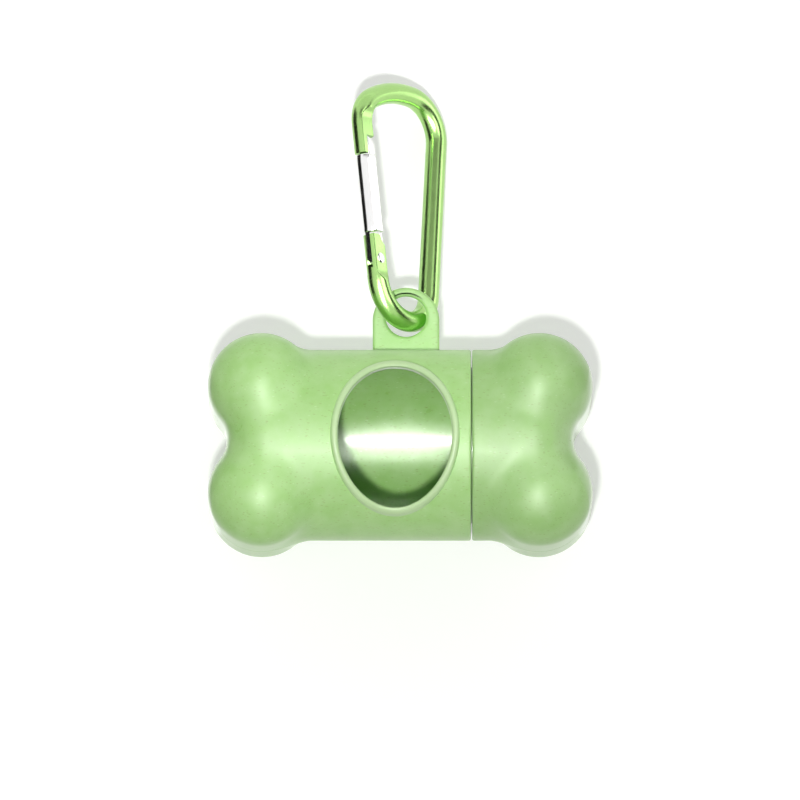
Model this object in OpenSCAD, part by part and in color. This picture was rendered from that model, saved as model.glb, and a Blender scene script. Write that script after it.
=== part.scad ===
// Bone-shaped poop bag dispenser on a clip: a hollow bone in two half shells,
// a screw-off end cap, a window for the bags, a tab with a hole and a carabiner.
// Millimetres. X runs along the bone, Y towards the tab, +Z is the window side.

/* [Bone] */
// Length over the lobes
bone_length = 80; // [79:0.5:84]
// Diameter of the straight tube between the lobes
tube_diameter = 39.8; // [39.4:0.1:41]
// Radius of each rounded lobe
lobe_radius = 11.1; // [10.6:0.1:11.6]
// Distance of a lobe from the bone's axis
lobe_offset = 11.2; // [10.6:0.1:12]
// Half height of a lobe's straight middle, so the lobes carry the bone
lobe_rise = 9.2; // [9:0.1:10]
// Softness of the crease where a lobe leaves the tube
flare_blend = 2.2; // [1.2:0.1:3]
// Softness of the valley between two lobes
valley_blend = 6; // [4:0.5:8]
// Wall of the moulded shells in the bay
shell_wall = 1.9; // [1.7:0.1:2.1]
// Length of the screw-off cap, from the seam to the end of the lobes
cap_length = 25.3; // [24.5:0.1:25.7]
// Gap left at that seam
seam_gap = 0.25; // [0.15:0.05:0.4]

/* [Window] */
// Land left between the opening and the seam, and between it and the lobes
window_land = 3.9; // [3.9:0.1:5.3]
// Half height of the opening across the bone
window_half_y = 14.75; // [12:0.05:15.2]
// Width of the raised rim round the opening
rim_width = 1.35; // [1:0.05:1.6]
// Height of that rim over the tube
rim_height = 1.1; // [0.6:0.1:1.4]

/* [Tab] */
// Width of the tab
tab_width = 13.9; // [13:0.1:16]
// Thickness of the tab, shared by the two half shells
tab_thickness = 2.2; // [1.8:0.1:2.6]
// Middle of the tab along the bone
tab_x = 1.2; // [0:0.1:2]
// Height of the tab's round top centre over the tube
tab_arc_rise = 6.2; // [5.9:0.1:7.1]
// Diameter of the hole
hole_diameter = 8.5; // [8.4:0.1:9]
// Height of the hole's centre over the tube
hole_rise = 7.1; // [6.9:0.1:7.4]

/* [Screw neck] */
// Wall of the neck round its bore, which lets a roll of bags through
neck_wall = 1.05; // [0.85:0.05:1.25]
// How far the neck stands into the cap
neck_length = 9.6; // [9:0.1:10.4]
// Travel of the cap in one full turn, two starts
thread_lead = 6; // [5:0.5:7]
// Height of the thread ridges
thread_height = 0.8; // [0.6:0.05:0.85]

/* [Carabiner] */
// Diameter of the bent rod
rod_diameter = 4.4; // [4:0.1:4.5]
// Length of the straight back
spine_length = 35.4; // [33:0.2:37]
// Radius of the bend in the tab's hole, to the rod's middle
foot_radius = 8.15; // [7.8:0.05:9]
// Radius of the upper bend at the back
crown_radius = 7.8; // [6.5:0.1:9]
// Radius of the gentle bend between the upper bends
top_radius = 24; // [20:0.5:28]
// Slant of the gate leg against the back
leg_slant = 12.9; // [10:0.1:14]
// Angle at which the bend at the back ends
crown_turn = 96.5; // [92:0.5:100]
// Angle at which the bend at the nose begins
nose_turn = 129.5; // [124:0.5:134]
// Length of the gate from its pivot to its tip
gate_length = 26.6; // [24:0.1:27]
// Turn of the clip about its length
clip_yaw = 49.5; // [48:0.5:51]
// Lean of the clip down to the table
clip_lean = 14.8; // [13:0.2:15]
// Tilt of the clip in its own plane
clip_tilt = 4.1; // [3:0.1:5]
// How far beside the hole's middle the clip's bend crosses it
clip_side = 0.85; // [0.7:0.05:0.9]
// How far below the hole's middle the clip's bend crosses it
clip_drop = 1.05; // [0.9:0.05:1.2]

/* [Hidden] */
$fn = 96;
tube_r = tube_diameter / 2;
bay_r = tube_r - shell_wall;
half_length = bone_length / 2;
// the lobes and the tube's rounded end between them
lobe_x = half_length - lobe_radius;
end_dimple = 4.6;
end_x = half_length - end_dimple;
end_round = 8;
lobe_start = lobe_x - lobe_radius - 0.9;
// where the free-form ends take over from the turned wall, and how they lap
start_x = lobe_start - 0.9;
ray_x = lobe_x - 4.9;
ray_limit = max(tube_r, norm([lobe_x - ray_x, lobe_offset, lobe_rise]) + lobe_radius) + 2;
lap_step = 0.03;
lap_in = 0.5;
deep_wall = shell_wall + lap_in;
edge_chamfer = 0.5;
seam_x = half_length - cap_length;
window_half_x = (seam_x + lobe_start) / 2 - window_land;
window_x = (seam_x - lobe_start) / 2;
// the bay's round bore and the rib that stops the roll
bore_end = end_x - 9.2;
stop_x = end_x - 5;
stop_in = bay_r - 3.8;
stop_out = bay_r - 0.7;
rib = 1.1;
// screw neck, liner and disc
thread_room = 1.75;
play = 0.2;
root_r = bay_r - thread_room;
neck_in = root_r - neck_wall;
crest_r = root_r + thread_height;
liner_in = crest_r + play;
liner_start = seam_x + seam_gap + 0.25;
liner_thread_end = seam_x + neck_length + 0.6;
liner_end = end_x - 6.8;
disc_x = liner_end + play;
disc_t = 1.2;
disc_r = bay_r - 2;
neck_grip = 3;
thread_from = seam_x + 2;
end_land = 1.2;
rod_r = rod_diameter / 2;
tab_half = tab_thickness / 2;
tab_arc_y = tube_r + tab_arc_rise;
hole_y = tube_r + hole_rise;
clip_x = tab_x + clip_side;
clip_y = hole_y - clip_drop;
tab_round = 0.6;
hole_round = 0.7;

shell_green = "#abd887";
cap_green = "#a4d47e";
neck_green = "#9ccb77";
anodised_green = "#8fbe6a";
silver = "#d9dbdc";
steel = "#b9bcc0";

// The bone's outside as a distance: below zero inside, above zero outside.
function clip0(v) = max(v, 0);
function soft_min(a, b, r) = max(r, min(a, b)) - norm([clip0(r - a), clip0(r - b)]);
function tube_field(x, q) =
    let (u = x - (end_x - end_round), w = q - (tube_r - end_round))
    norm([clip0(u), clip0(w)]) + min(max(u, w), 0) - end_round;
function lobe_field(x, y, z) =
    norm([x - lobe_x, y, clip0(z - lobe_rise)]) - lobe_radius;
function bone_field(p) =
    let (x = abs(p[0]), z = abs(p[2]), y = p[1])
    let (near_lobe = lobe_field(x, y - lobe_offset, z))
    let (far_lobe = lobe_field(x, y + lobe_offset, z))
    soft_min(tube_field(x, norm([y, z])), soft_min(near_lobe, far_lobe, valley_blend), flare_blend);
// How far a ray from o along d runs before it meets the surface set in by inset.
function reach(o, d, inset, lo, hi, n) =
    let (m = (lo + hi) / 2)
    n == 0 ? m
    : bone_field(o + m * d) + inset > 0 ? reach(o, d, inset, lo, m, n - 1)
    : reach(o, d, inset, m, hi, n - 1);

ray_cols = 24;
straight_rows = [start_x - lap_in, start_x + 0.4, for (i = [1 : 3]) start_x + i * (ray_x - start_x) / 4];
polar_rows = [for (i = [0 : 14]) i * 6];
row_count = len(straight_rows) + len(polar_rows);
function row_origin(i) = i < len(straight_rows) ? [straight_rows[i], 0, 0] : [ray_x, 0, 0];
function row_phi(i) = i < len(straight_rows) ? 0 : polar_rows[i - len(straight_rows)];
function ray_dir(phi, th) = [sin(phi), cos(phi) * cos(th), cos(phi) * sin(th)];
function skin(inset) = [
    for (i = [0 : row_count - 1], j = [0 : ray_cols])
        let (o = row_origin(i), d = ray_dir(row_phi(i), j * 180 / ray_cols))
        o + (i < 2 ? tube_r - lap_step - inset : reach(o, d, inset, 2, ray_limit, 20)) * d
];
function pole(inset) = [ray_x + reach([ray_x, 0, 0], [1, 0, 0], inset, 2, ray_limit, 20), 0, 0];

// One hollow lobed end, upper half, towards +X.
module lobed_half() {
    n = ray_cols + 1;
    m = row_count * n;
    points = concat(skin(0), skin(deep_wall), [pole(0), pole(deep_wall)]);
    po = 2 * m;
    pi_ = 2 * m + 1;
    last = (row_count - 1) * n;
    outer = [
        for (i = [0 : row_count - 2], j = [0 : ray_cols - 1])
            each [[i * n + j, i * n + j + 1, (i + 1) * n + j + 1],
                  [i * n + j, (i + 1) * n + j + 1, (i + 1) * n + j]]
    ];
    inner = [
        for (i = [0 : row_count - 2], j = [0 : ray_cols - 1])
            each [[m + i * n + j, m + (i + 1) * n + j + 1, m + i * n + j + 1],
                  [m + i * n + j, m + (i + 1) * n + j, m + (i + 1) * n + j + 1]]
    ];
    tips = [
        for (j = [0 : ray_cols - 1])
            each [[last + j, last + j + 1, po], [m + last + j + 1, m + last + j, pi_]]
    ];
    mouth = [
        for (j = [0 : ray_cols - 1])
            each [[j + 1, j, m + j], [j + 1, m + j, m + j + 1]]
    ];
    side_a = [
        for (i = [0 : row_count - 2])
            each [[i * n, (i + 1) * n, m + (i + 1) * n], [i * n, m + (i + 1) * n, m + i * n]]
    ];
    side_b = [
        for (i = [0 : row_count - 2])
            let (a = i * n + ray_cols, b = (i + 1) * n + ray_cols)
            each [[b, a, m + a], [b, m + a, m + b]]
    ];
    caps = [
        [last, po, pi_],
        [last, pi_, m + last],
        [po, last + ray_cols, m + last + ray_cols],
        [po, m + last + ray_cols, pi_]
    ];
    all = concat(outer, inner, tips, mouth, side_a, side_b, caps);
    polyhedron(points = points, faces = [for (f = all) [f[0], f[2], f[1]]]);
}

// Turns a profile (radius, distance along X) half or all the way round the X axis.
module about_x(angle = 360) {
    rotate([0, 90, 0])
        rotate([0, 0, 90])
            rotate_extrude(angle = angle)
                children();
}

module half_ring(x0, x1, r0, r1) {
    about_x(180)
        translate([r0, x0])
            square([r1 - r0, x1 - x0]);
}

module bay_bore(x0, x1) {
    translate([x0, 0, 0])
        rotate([0, 90, 0])
            cylinder(r = bay_r, h = x1 - x0);
}

// The straight wall next to the seam, with the seam's small chamfer.
module seam_wall(x0, x1, chamfer_at_end) {
    c = edge_chamfer;
    r = bay_r - lap_in;
    about_x(180)
        polygon(chamfer_at_end
            ? [[r, x0], [tube_r, x0], [tube_r, x1 - c], [tube_r - c, x1], [r, x1]]
            : [[r, x0], [tube_r - c, x0], [tube_r, x0 + c], [tube_r, x1], [r, x1]]);
}

module tab_profile() {
    difference() {
        square([tab_width / 2, tab_half]);
        difference() {
            translate([tab_width / 2 - tab_round, tab_half - tab_round])
                square(tab_round + 1);
            translate([tab_width / 2 - tab_round, tab_half - tab_round])
                circle(r = tab_round);
        }
    }
}

// Half of the tab, above z = 0, with its half of the hole's rounded edge.
module half_tab() {
    foot_y = bay_r + 0.6;
    difference() {
        translate([tab_x, 0, 0])
            union() {
                translate([0, tab_arc_y, 0])
                    rotate_extrude(angle = 180)
                        tab_profile();
                for (s = [0, 1])
                    mirror([s, 0, 0])
                        translate([0, tab_arc_y, 0])
                            rotate([90, 0, 0])
                                linear_extrude(height = tab_arc_y - foot_y)
                                    tab_profile();
            }
        translate([tab_x, hole_y, -1])
            cylinder(d = hole_diameter, h = tab_half + 2);
        translate([tab_x, hole_y, tab_half - hole_round])
            rotate_extrude()
                difference() {
                    translate([hole_diameter / 2 - 0.5, 0])
                        square([hole_round + 0.5, hole_round + 1]);
                    translate([hole_diameter / 2 + hole_round, 0])
                        circle(r = hole_round);
                }
    }
}

// The raised bead round the window, following the tube.
rim_steps = 64;
rim_profile = [
    for (a = [0 : 30 : 180])
        [cos(a) * rim_width * 0.62, rim_height - rim_width * 0.5 + sin(a) * rim_width * 0.5]
];
rim_section = concat([[rim_width * 0.62, -0.8]], rim_profile, [[-rim_width * 0.62, -0.8]]);
function rim_point(t, p) =
    let (a = window_half_x + rim_width / 2, b = window_half_y + rim_width / 2)
    let (x = a * cos(t), y = b * sin(t))
    let (z = sqrt(tube_r * tube_r - y * y))
    let (up = [0, y / tube_r, z / tube_r])
    let (along = [-a * sin(t), b * cos(t), -b * cos(t) * y / z])
    let (side = cross(along / norm(along), up))
    [window_x + x, y, z] + p[0] * side + p[1] * up;
module window_rim() {
    k = len(rim_section);
    points = [for (i = [0 : rim_steps - 1]) for (p = rim_section) rim_point(i * 360 / rim_steps, p)];
    faces = [
        for (i = [0 : rim_steps - 1], j = [0 : k - 1])
            let (i2 = (i + 1) % rim_steps, j2 = (j + 1) % k)
            each [[i * k + j, i * k + j2, i2 * k + j2], [i * k + j, i2 * k + j2, i2 * k + j]]
    ];
    polyhedron(points = points, faces = faces);
}

module window_cut() {
    translate([window_x, 0, 4])
        linear_extrude(height = 24)
            polygon([for (i = [0 : 71])
                [window_half_x * cos(i * 5 + 2.5), window_half_y * sin(i * 5 + 2.5)]]);
}

module body_half_plain() {
    difference() {
        union() {
            seam_wall(-start_x, seam_x, true);
            mirror([1, 0, 0])
                lobed_half();
            half_ring(-stop_x - rib, -stop_x, stop_in, stop_out);
        }
        bay_bore(-bore_end, seam_x + 1);
    }
}

module body_front_shell() {
    color(shell_green)
        difference() {
            union() {
                body_half_plain();
                window_rim();
                half_tab();
            }
            window_cut();
        }
}

module body_rear_shell() {
    color(shell_green)
        mirror([0, 0, 1])
            union() {
                body_half_plain();
                half_tab();
            }
}

module cap_half() {
    difference() {
        union() {
            seam_wall(seam_x + seam_gap, start_x, false);
            lobed_half();
            half_ring(disc_x + disc_t + play, disc_x + disc_t + play + rib, stop_in, stop_out);
        }
        bay_bore(seam_x - 1, bore_end);
    }
}

module cap_front_shell() {
    color(cap_green)
        cap_half();
}

module cap_rear_shell() {
    color(cap_green)
        mirror([0, 0, 1])
            cap_half();
}

// One thread ridge from x0 to x1, tapering at both ends; sign +1 stands outwards.
module thread_ridge(base_r, sign, x0, x1, start) {
    step = 10;
    turn = (x1 - x0) / thread_lead * 360;
    count = ceil(turn / step);
    function height(i) = thread_height * min(1, min(i, count - i) / 3 + 0.15);
    section = [[-0.3, -0.75], [1, -0.36], [1, 0.36], [-0.3, 0.75]];
    points = [
        for (i = [0 : count]) for (s = section)
            let (r = base_r + sign * (s[0] > 0 ? height(i) : s[0]))
            let (a = start + i * turn / count)
            [x0 + (x1 - x0) * i / count + s[1], r * cos(a), r * sin(a)]
    ];
    sides = [
        for (i = [0 : count - 1], j = [0 : 3])
            let (a = i * 4 + j, b = i * 4 + (j + 1) % 4, c = b + 4, d = a + 4)
            each (sign > 0 ? [[a, c, b], [a, d, c]] : [[a, b, c], [a, c, d]])
    ];
    e = count * 4;
    ends = sign > 0
        ? [[0, 1, 2], [0, 2, 3], [e, e + 2, e + 1], [e, e + 3, e + 2]]
        : [[0, 2, 1], [0, 3, 2], [e, e + 1, e + 2], [e, e + 2, e + 3]];
    polyhedron(points = points, faces = [for (f = concat(sides, ends)) [f[0], f[2], f[1]]]);
}

module body_neck() {
    x0 = seam_x - neck_grip;
    x1 = seam_x + neck_length;
    color(neck_green)
        union() {
            about_x()
                polygon([[neck_in, x0], [bay_r, x0], [bay_r, seam_x - 0.05],
                    [root_r, seam_x - 0.05], [root_r, x1 - 0.5], [root_r - 0.5, x1], [neck_in, x1]]);
            for (s = [0, 180])
                thread_ridge(root_r, 1, thread_from, x1 - 1.5, s);
        }
}

module cap_liner() {
    color(neck_green)
        union() {
            about_x()
                polygon([[liner_in, liner_start], [bay_r, liner_start], [bay_r, bore_end],
                    [bay_r - 0.6, bore_end], [bay_r - 0.6, liner_end], [neck_in, liner_end],
                    [neck_in, liner_thread_end], [liner_in, liner_thread_end]]);
            for (s = [0, 180])
                thread_ridge(liner_in, -1, liner_start + end_land, liner_thread_end - end_land,
                    s + 90 + (liner_start + end_land - thread_from) / thread_lead * 360);
        }
}

module cap_disc() {
    color(neck_green)
        translate([disc_x, 0, 0])
            rotate([0, 90, 0])
                cylinder(r = disc_r, h = disc_t);
}

// The clip is drawn flat: its back on the Y axis, its gate leg to the left.
leg_out = [-cos(leg_slant), -sin(leg_slant)];
leg_up = [-sin(leg_slant), cos(leg_slant)];
foot_c = [-foot_radius, 0];
leg_foot = foot_c + foot_radius * leg_out;
crown_c = [-crown_radius, spine_length];
top_c = crown_c + (crown_radius - top_radius) * [cos(crown_turn), sin(crown_turn)];
nose_n = [cos(nose_turn), sin(nose_turn)];
// the bend at the nose runs out straight into the gate leg
nose_radius = (top_c * leg_out + top_radius * (nose_n * leg_out) - leg_foot * leg_out)
    / (nose_n * leg_out - 1);
nose_c = top_c + (top_radius - nose_radius) * nose_n;
pivot_up = 4.1;
pivot = leg_foot + pivot_up * leg_up;
nose_start = nose_c + nose_radius * leg_out;
leg_run = norm(nose_start - pivot);
// where the bend passes through the hole
cross_angle = -70;
anchor = foot_c + foot_radius * [cos(cross_angle), sin(cross_angle)];
flat_half = rod_r - 0.8;
rod_step = 0.01;
rod_lap = 0.06;
top_lap = rod_lap / top_radius * 180 / PI;
past = 2 * rod_diameter;
// fork at the pivot, with its slot, hollow, rivet hole and spring bore
fork_half = rod_r + 0.15;
fork_low = 2;
fork_r = 5.2;
cheek_low = 2.4;
cheek_high = 7.6;
slot_half = 0.65;
slot_floor = 3;
hollow_r = 2.5;
hollow = [3.1, 5];
bore_low = 6.3;
bore_r = 0.85;
rivet_r = 0.9;
// nose, cut back for the gate's tip
tip_play = 0.2;
nose_up = gate_length - 3.7;
nose_flat = 7.8;
seat_in = -0.6;
// gate bar, its tip and its tongue with the heel that works the spring
gate_r = rod_r - 0.1;
gate_flat = 1.75;
gate_low = 5.7;
gate_high = gate_length - 3.9;
tip_r = 2.45;
tip_in = -0.4;
tip_half = flat_half - 0.1;
tongue_half = slot_half - 0.07;
tongue_side = 1.9;
tongue_high = 7;
heel_r = 2;
heel_rise = 0.82;
rivet_head = 0.15;
// return spring and the plunger it pushes
plunger_top = -2.19;
plunger_length = 1.5;
spring_wire = 0.17;
spring_turns = 5;

module place_clip() {
    translate([clip_x, clip_y, 0])
        rotate([-clip_lean, 0, 0])
            rotate([0, clip_yaw, 0])
                rotate([0, 0, -clip_tilt])
                    translate([-anchor[0], -anchor[1], 0])
                        children();
}

// Gate leg's own axes: origin on the pivot, Y up the leg, X into the loop.
module at_pivot() {
    translate([pivot[0], pivot[1], 0])
        rotate([0, 0, leg_slant])
            children();
}

// Straight rod, a hair thinner than the bends and reaching a little into them.
module rod(from, to) {
    d = to - from;
    translate([from[0], from[1], 0])
        rotate([0, 0, atan2(d[1], d[0])])
            translate([-rod_lap, 0, 0])
                rotate([0, 90, 0])
                    cylinder(r = rod_r - rod_step, h = norm(d) + 2 * rod_lap);
}

module bend(centre, radius, from, to, r = rod_r) {
    translate([centre[0], centre[1], 0])
        rotate([0, 0, from])
            rotate_extrude(angle = to - from)
                translate([radius, 0])
                    circle(r = r);
}

// Cuts both sides of the leg flat between two heights.
module flats(from, to) {
    for (s = [-1, 1])
        translate([0, (from + to) / 2, s * (flat_half + past / 2)])
            cube([past, to - from, past], center = true);
}

module carabiner_frame() {
    color(anodised_green)
        place_clip()
            difference() {
                union() {
                    bend(foot_c, foot_radius, 180 + leg_slant, 360);
                    rod([0, 0], crown_c + [crown_radius, 0]);
                    bend(crown_c, crown_radius, 0, crown_turn);
                    // the gentle bend is a hair thinner too, and laps into its neighbours
                    bend(top_c, top_radius, crown_turn - top_lap, nose_turn + top_lap,
                        rod_r - rod_step);
                    bend(nose_c, nose_radius, nose_turn, 180 + leg_slant);
                    at_pivot() {
                        // nose
                        translate([0, nose_up, 0])
                            rotate([-90, 0, 0])
                                cylinder(r = rod_r - rod_step, h = leg_run - nose_up + rod_lap);
                        // straight foot below the pivot and the flat fork
                        translate([0, -pivot_up - rod_lap, 0])
                            rotate([-90, 0, 0])
                                cylinder(r = rod_r - rod_step, h = pivot_up + rod_lap);
                        translate([0, 0, -flat_half])
                            linear_extrude(height = 2 * flat_half)
                                intersection() {
                                    translate([-fork_half, -fork_low])
                                        square([2 * fork_half, fork_low + fork_r + 1]);
                                    circle(r = fork_r);
                                }
                    }
                }
                at_pivot() {
                    // cheeks of the fork
                    flats(-cheek_low, cheek_high);
                    // slot for the gate's tongue, round at its floor
                    translate([0, 0, -slot_half])
                        linear_extrude(height = 2 * slot_half) {
                            circle(r = slot_floor);
                            translate([-past, 0])
                                square([2 * past, cheek_high]);
                        }
                    // hollow in the fork's inner corner
                    translate(hollow)
                        cylinder(r = hollow_r, h = past, center = true);
                    // rivet hole
                    cylinder(r = rivet_r, h = past, center = true);
                    // bore for the return spring
                    translate([0, -bore_low, 0])
                        rotate([-90, 0, 0])
                            cylinder(r = bore_r, h = bore_low - 1.3);
                    flats(nose_up - past, nose_up + nose_flat);
                    // seat of the gate's tip, open into the loop
                    linear_extrude(height = past, center = true)
                        intersection() {
                            circle(r = gate_length + tip_play);
                            translate([seat_in, nose_up - 3])
                                square(past);
                        }
                }
            }
}

module gate() {
    color(silver)
        place_clip()
            at_pivot()
                difference() {
                    union() {
                        // round bar with flat sides
                        intersection() {
                            translate([0, gate_low, 0])
                                rotate([-90, 0, 0])
                                    cylinder(r = gate_r, h = gate_high - gate_low);
                            translate([-past, 0, -gate_flat])
                                cube([2 * past, gate_length, 2 * gate_flat]);
                        }
                        // tip that laps inside the nose
                        translate([0, 0, -tip_half])
                            linear_extrude(height = 2 * tip_half)
                                intersection() {
                                    translate([tip_in, gate_high - 2])
                                        square([gate_r - tip_in - 0.1, past]);
                                    translate([tip_in, gate_length - tip_r]) {
                                        circle(r = tip_r);
                                        translate([0, -past])
                                            square([tip_r, past]);
                                    }
                                }
                        // tongue in the fork
                        translate([0, 0, -tongue_half])
                            linear_extrude(height = 2 * tongue_half)
                                polygon(concat(
                                    [[-tongue_side, tongue_high], [-heel_r, 0]],
                                    [for (a = [186 : 6 : 264]) heel_r * [cos(a), sin(a)]],
                                    [for (a = [0 : 5 : 55])
                                        (heel_r + heel_rise * a * PI / 180) * [sin(a), -cos(a)]],
                                    [[tongue_side + 0.35, 0.4], [tongue_side, tongue_high]]));
                    }
                    cylinder(r = rivet_r + 0.05, h = past, center = true);
                }
}

module gate_rivet() {
    color(silver)
        place_clip()
            at_pivot()
                union() {
                    cylinder(r = rivet_r, h = 2 * flat_half, center = true);
                    for (s = [0, 1])
                        mirror([0, 0, s])
                            translate([0, 0, flat_half])
                                cylinder(r1 = rivet_r + 0.25, r2 = rivet_r + 0.05, h = rivet_head);
                }
}

module gate_plunger() {
    color(steel)
        place_clip()
            at_pivot()
                translate([0, plunger_top, 0])
                    rotate([90, 0, 0])
                        cylinder(r = bore_r - 0.05, h = plunger_length);
}

module gate_spring() {
    y0 = -bore_low;
    y1 = plunger_top - plunger_length;
    wire = spring_wire;
    coil = bore_r - 0.1 - wire;
    steps = spring_turns * 14;
    points = [
        for (i = [0 : steps]) for (k = [0 : 5])
            let (a = i * 360 / 14, r = coil + wire * cos(k * 60))
            [r * cos(a), y0 + wire + (y1 - y0 - 2 * wire) * i / steps + wire * sin(k * 60), -r * sin(a)]
    ];
    sides = [
        for (i = [0 : steps - 1], k = [0 : 5])
            let (a = i * 6 + k, b = i * 6 + (k + 1) % 6)
            each [[a, b, b + 6], [a, b + 6, a + 6]]
    ];
    e = steps * 6;
    ends = [for (k = [1 : 4]) each [[0, k + 1, k], [e, e + k, e + k + 1]]];
    color(steel)
        place_clip()
            at_pivot()
                polyhedron(points = points, faces = concat(sides, ends));
}

body_front_shell();
body_rear_shell();
body_neck();
cap_front_shell();
cap_rear_shell();
cap_liner();
cap_disc();
carabiner_frame();
gate();
gate_rivet();
gate_plunger();
gate_spring();
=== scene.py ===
# %% [markdown]
# # A bone-shaped bag dispenser on a small carabiner
#
# The real thing is a hollow plastic bone, 80 mm long, that holds a roll of bags. Bags come
# out of an oval window, the right-hand end unscrews, and a green carabiner hangs the bone on
# a leash. The lesson dresses a frame of plain solids: each cell makes one piece with a
# smoother shape than the solid has, or gives a finish its own material.

# %% Load the frame
import math

import bmesh
import bpy
import numpy as np
from mathutils import Matrix, Vector


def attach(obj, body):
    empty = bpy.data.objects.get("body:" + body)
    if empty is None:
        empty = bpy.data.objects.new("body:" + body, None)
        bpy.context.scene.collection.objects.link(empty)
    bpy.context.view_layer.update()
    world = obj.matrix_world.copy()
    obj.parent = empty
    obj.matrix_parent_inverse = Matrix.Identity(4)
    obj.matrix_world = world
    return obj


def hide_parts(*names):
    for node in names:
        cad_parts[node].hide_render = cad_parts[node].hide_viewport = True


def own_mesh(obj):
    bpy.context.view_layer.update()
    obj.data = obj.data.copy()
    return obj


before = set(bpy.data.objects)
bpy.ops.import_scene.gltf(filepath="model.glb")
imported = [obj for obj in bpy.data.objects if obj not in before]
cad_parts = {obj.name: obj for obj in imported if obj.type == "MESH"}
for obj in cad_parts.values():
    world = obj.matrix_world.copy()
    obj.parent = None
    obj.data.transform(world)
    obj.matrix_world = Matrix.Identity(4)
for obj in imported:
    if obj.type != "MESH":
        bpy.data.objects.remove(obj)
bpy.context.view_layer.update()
print("nodes:", sorted(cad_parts))

# %% [markdown]
# ## Sizes
#
# Each size has one name and is in millimetres. X runs along the bone, Y points to the tab,
# and Z comes up out of the window, so the bone lies on its back as on a table.

# %% Sizes of the bone
MM = 0.001
BONE_LENGTH = 80.0
TUBE_R = 19.9
LOBE_R = 11.1
LOBE_Y = 11.2
LOBE_RISE = 9.2
FLARE_BLEND = 2.2
VALLEY_BLEND = 6.0
LOBE_X = BONE_LENGTH / 2 - LOBE_R
END_X = BONE_LENGTH / 2 - 4.6
END_ROUND = 8.0
WALL = 1.9
BAY_R = TUBE_R - WALL
SEAM_X = 14.7
SEAM_GAP = 0.25
RAY_X = 24.0
WINDOW_A = 11.9
WINDOW_B = 14.75
WINDOW_X = -1.1
BEAD_X = 0.7
RIM_A = WINDOW_A + BEAD_X
RIM_B = WINDOW_B + BEAD_X
TABLE_Z = -(LOBE_RISE + LOBE_R)
print("the bone lies on a table at z =", round(TABLE_Z, 2), "mm")

# %% [markdown]
# ## One helper for every node tree
#
# Shader trees and geometry trees are both nodes with settings and links. One small function
# adds a node, sets it and links it, so a tree reads like a list of steps.

# %% The helper
def add(tree, kind, links=(), out=0, **settings):
    """Adds a node. links are sockets or values, in order or by name; out picks the socket."""
    made = tree.nodes.new(kind)
    for key, value in settings.items():
        setattr(made, key, value)
    for key, value in links.items() if isinstance(links, dict) else enumerate(links):
        if isinstance(value, bpy.types.NodeSocket):
            tree.links.new(value, made.inputs[key])
        elif value is not None:
            made.inputs[key].default_value = value
    return made if out is None else made.outputs[out]


print("node helper ready")

# %% [markdown]
# ## Objects, meshes and empty materials
#
# Three steps come back for every piece, lamp and finish: an object is linked to the scene, a
# mesh is filled with points in millimetres, and a material starts with an empty tree.

# %% Helpers for objects, meshes and materials
def placed(name, data):
    """An object for a mesh, lamp or camera, linked to the scene."""
    obj = bpy.data.objects.new(name, data)
    bpy.context.scene.collection.objects.link(obj)
    return obj


def mesh_of(name, points, faces, edges=()):
    """A mesh whose points are given in millimetres."""
    mesh = bpy.data.meshes.new(name)
    mesh.from_pydata([[along * MM for along in point] for point in points], edges, faces)
    return mesh


def blank_material(name):
    """A material and its node tree, with no nodes in it yet."""
    made = bpy.data.materials.new(name)
    made.use_nodes = True
    made.node_tree.nodes.clear()
    return made, made.node_tree


print("object, mesh and material helpers ready")

# %% [markdown]
# ## Life of a geometry tree
#
# Every tree here starts with named sizes and ends with real geometry and its material. It runs
# on a seed mesh, and the result is kept as a plain mesh, so nothing live is left on a piece.

# %% Start, end and use of a geometry tree
def geometry_tree(name, sizes):
    """A geometry tree with a mesh in, a mesh out, named sizes and a material input."""
    tree = bpy.data.node_groups.new(name, "GeometryNodeTree")
    tree.interface.new_socket("Geometry", in_out="INPUT", socket_type="NodeSocketGeometry")
    tree.interface.new_socket("Geometry", in_out="OUTPUT", socket_type="NodeSocketGeometry")
    for size, value in sizes.items():
        kind = "NodeSocketInt" if isinstance(value, int) else "NodeSocketFloat"
        tree.interface.new_socket(size, in_out="INPUT", socket_type=kind).default_value = value
    tree.interface.new_socket("Material", in_out="INPUT", socket_type="NodeSocketMaterial")
    given = add(tree, "NodeGroupInput", out=None).outputs
    return tree, given


def close_tree(tree, geometry, given):
    """Every tree ends the same way: real geometry with its material."""
    real = add(tree, "GeometryNodeRealizeInstances", {"Geometry": geometry})
    smooth = add(tree, "GeometryNodeSetShadeSmooth", {"Geometry": real})
    finished = add(tree, "GeometryNodeSetMaterial", {"Geometry": smooth, "Material": given["Material"]})
    add(tree, "NodeGroupOutput", {"Geometry": finished}, out=None)


def grown(name, base, tree, material, **sizes):
    """Runs a geometry tree on a mesh and returns the result as a plain mesh."""
    seed = placed(name + "_seed", base)
    modifier = seed.modifiers.new("grow", "NODES")
    modifier.node_group = tree
    for socket in tree.interface.items_tree:
        if socket.in_out == "INPUT" and socket.name in sizes:
            modifier[socket.identifier] = sizes[socket.name]
        if socket.in_out == "INPUT" and socket.name == "Material":
            modifier[socket.identifier] = material
    ready = seed.evaluated_get(bpy.context.evaluated_depsgraph_get())
    mesh = bpy.data.meshes.new_from_object(ready)
    mesh.name = name
    seed.modifiers.clear()
    bpy.data.objects.remove(seed)
    return mesh


print("geometry trees can be started, closed and run")

# %% [markdown]
# ## Colours
#
# Colours are written the way a paint chart gives them, as hex, and one function turns them
# into the linear light that Blender mixes.

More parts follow.
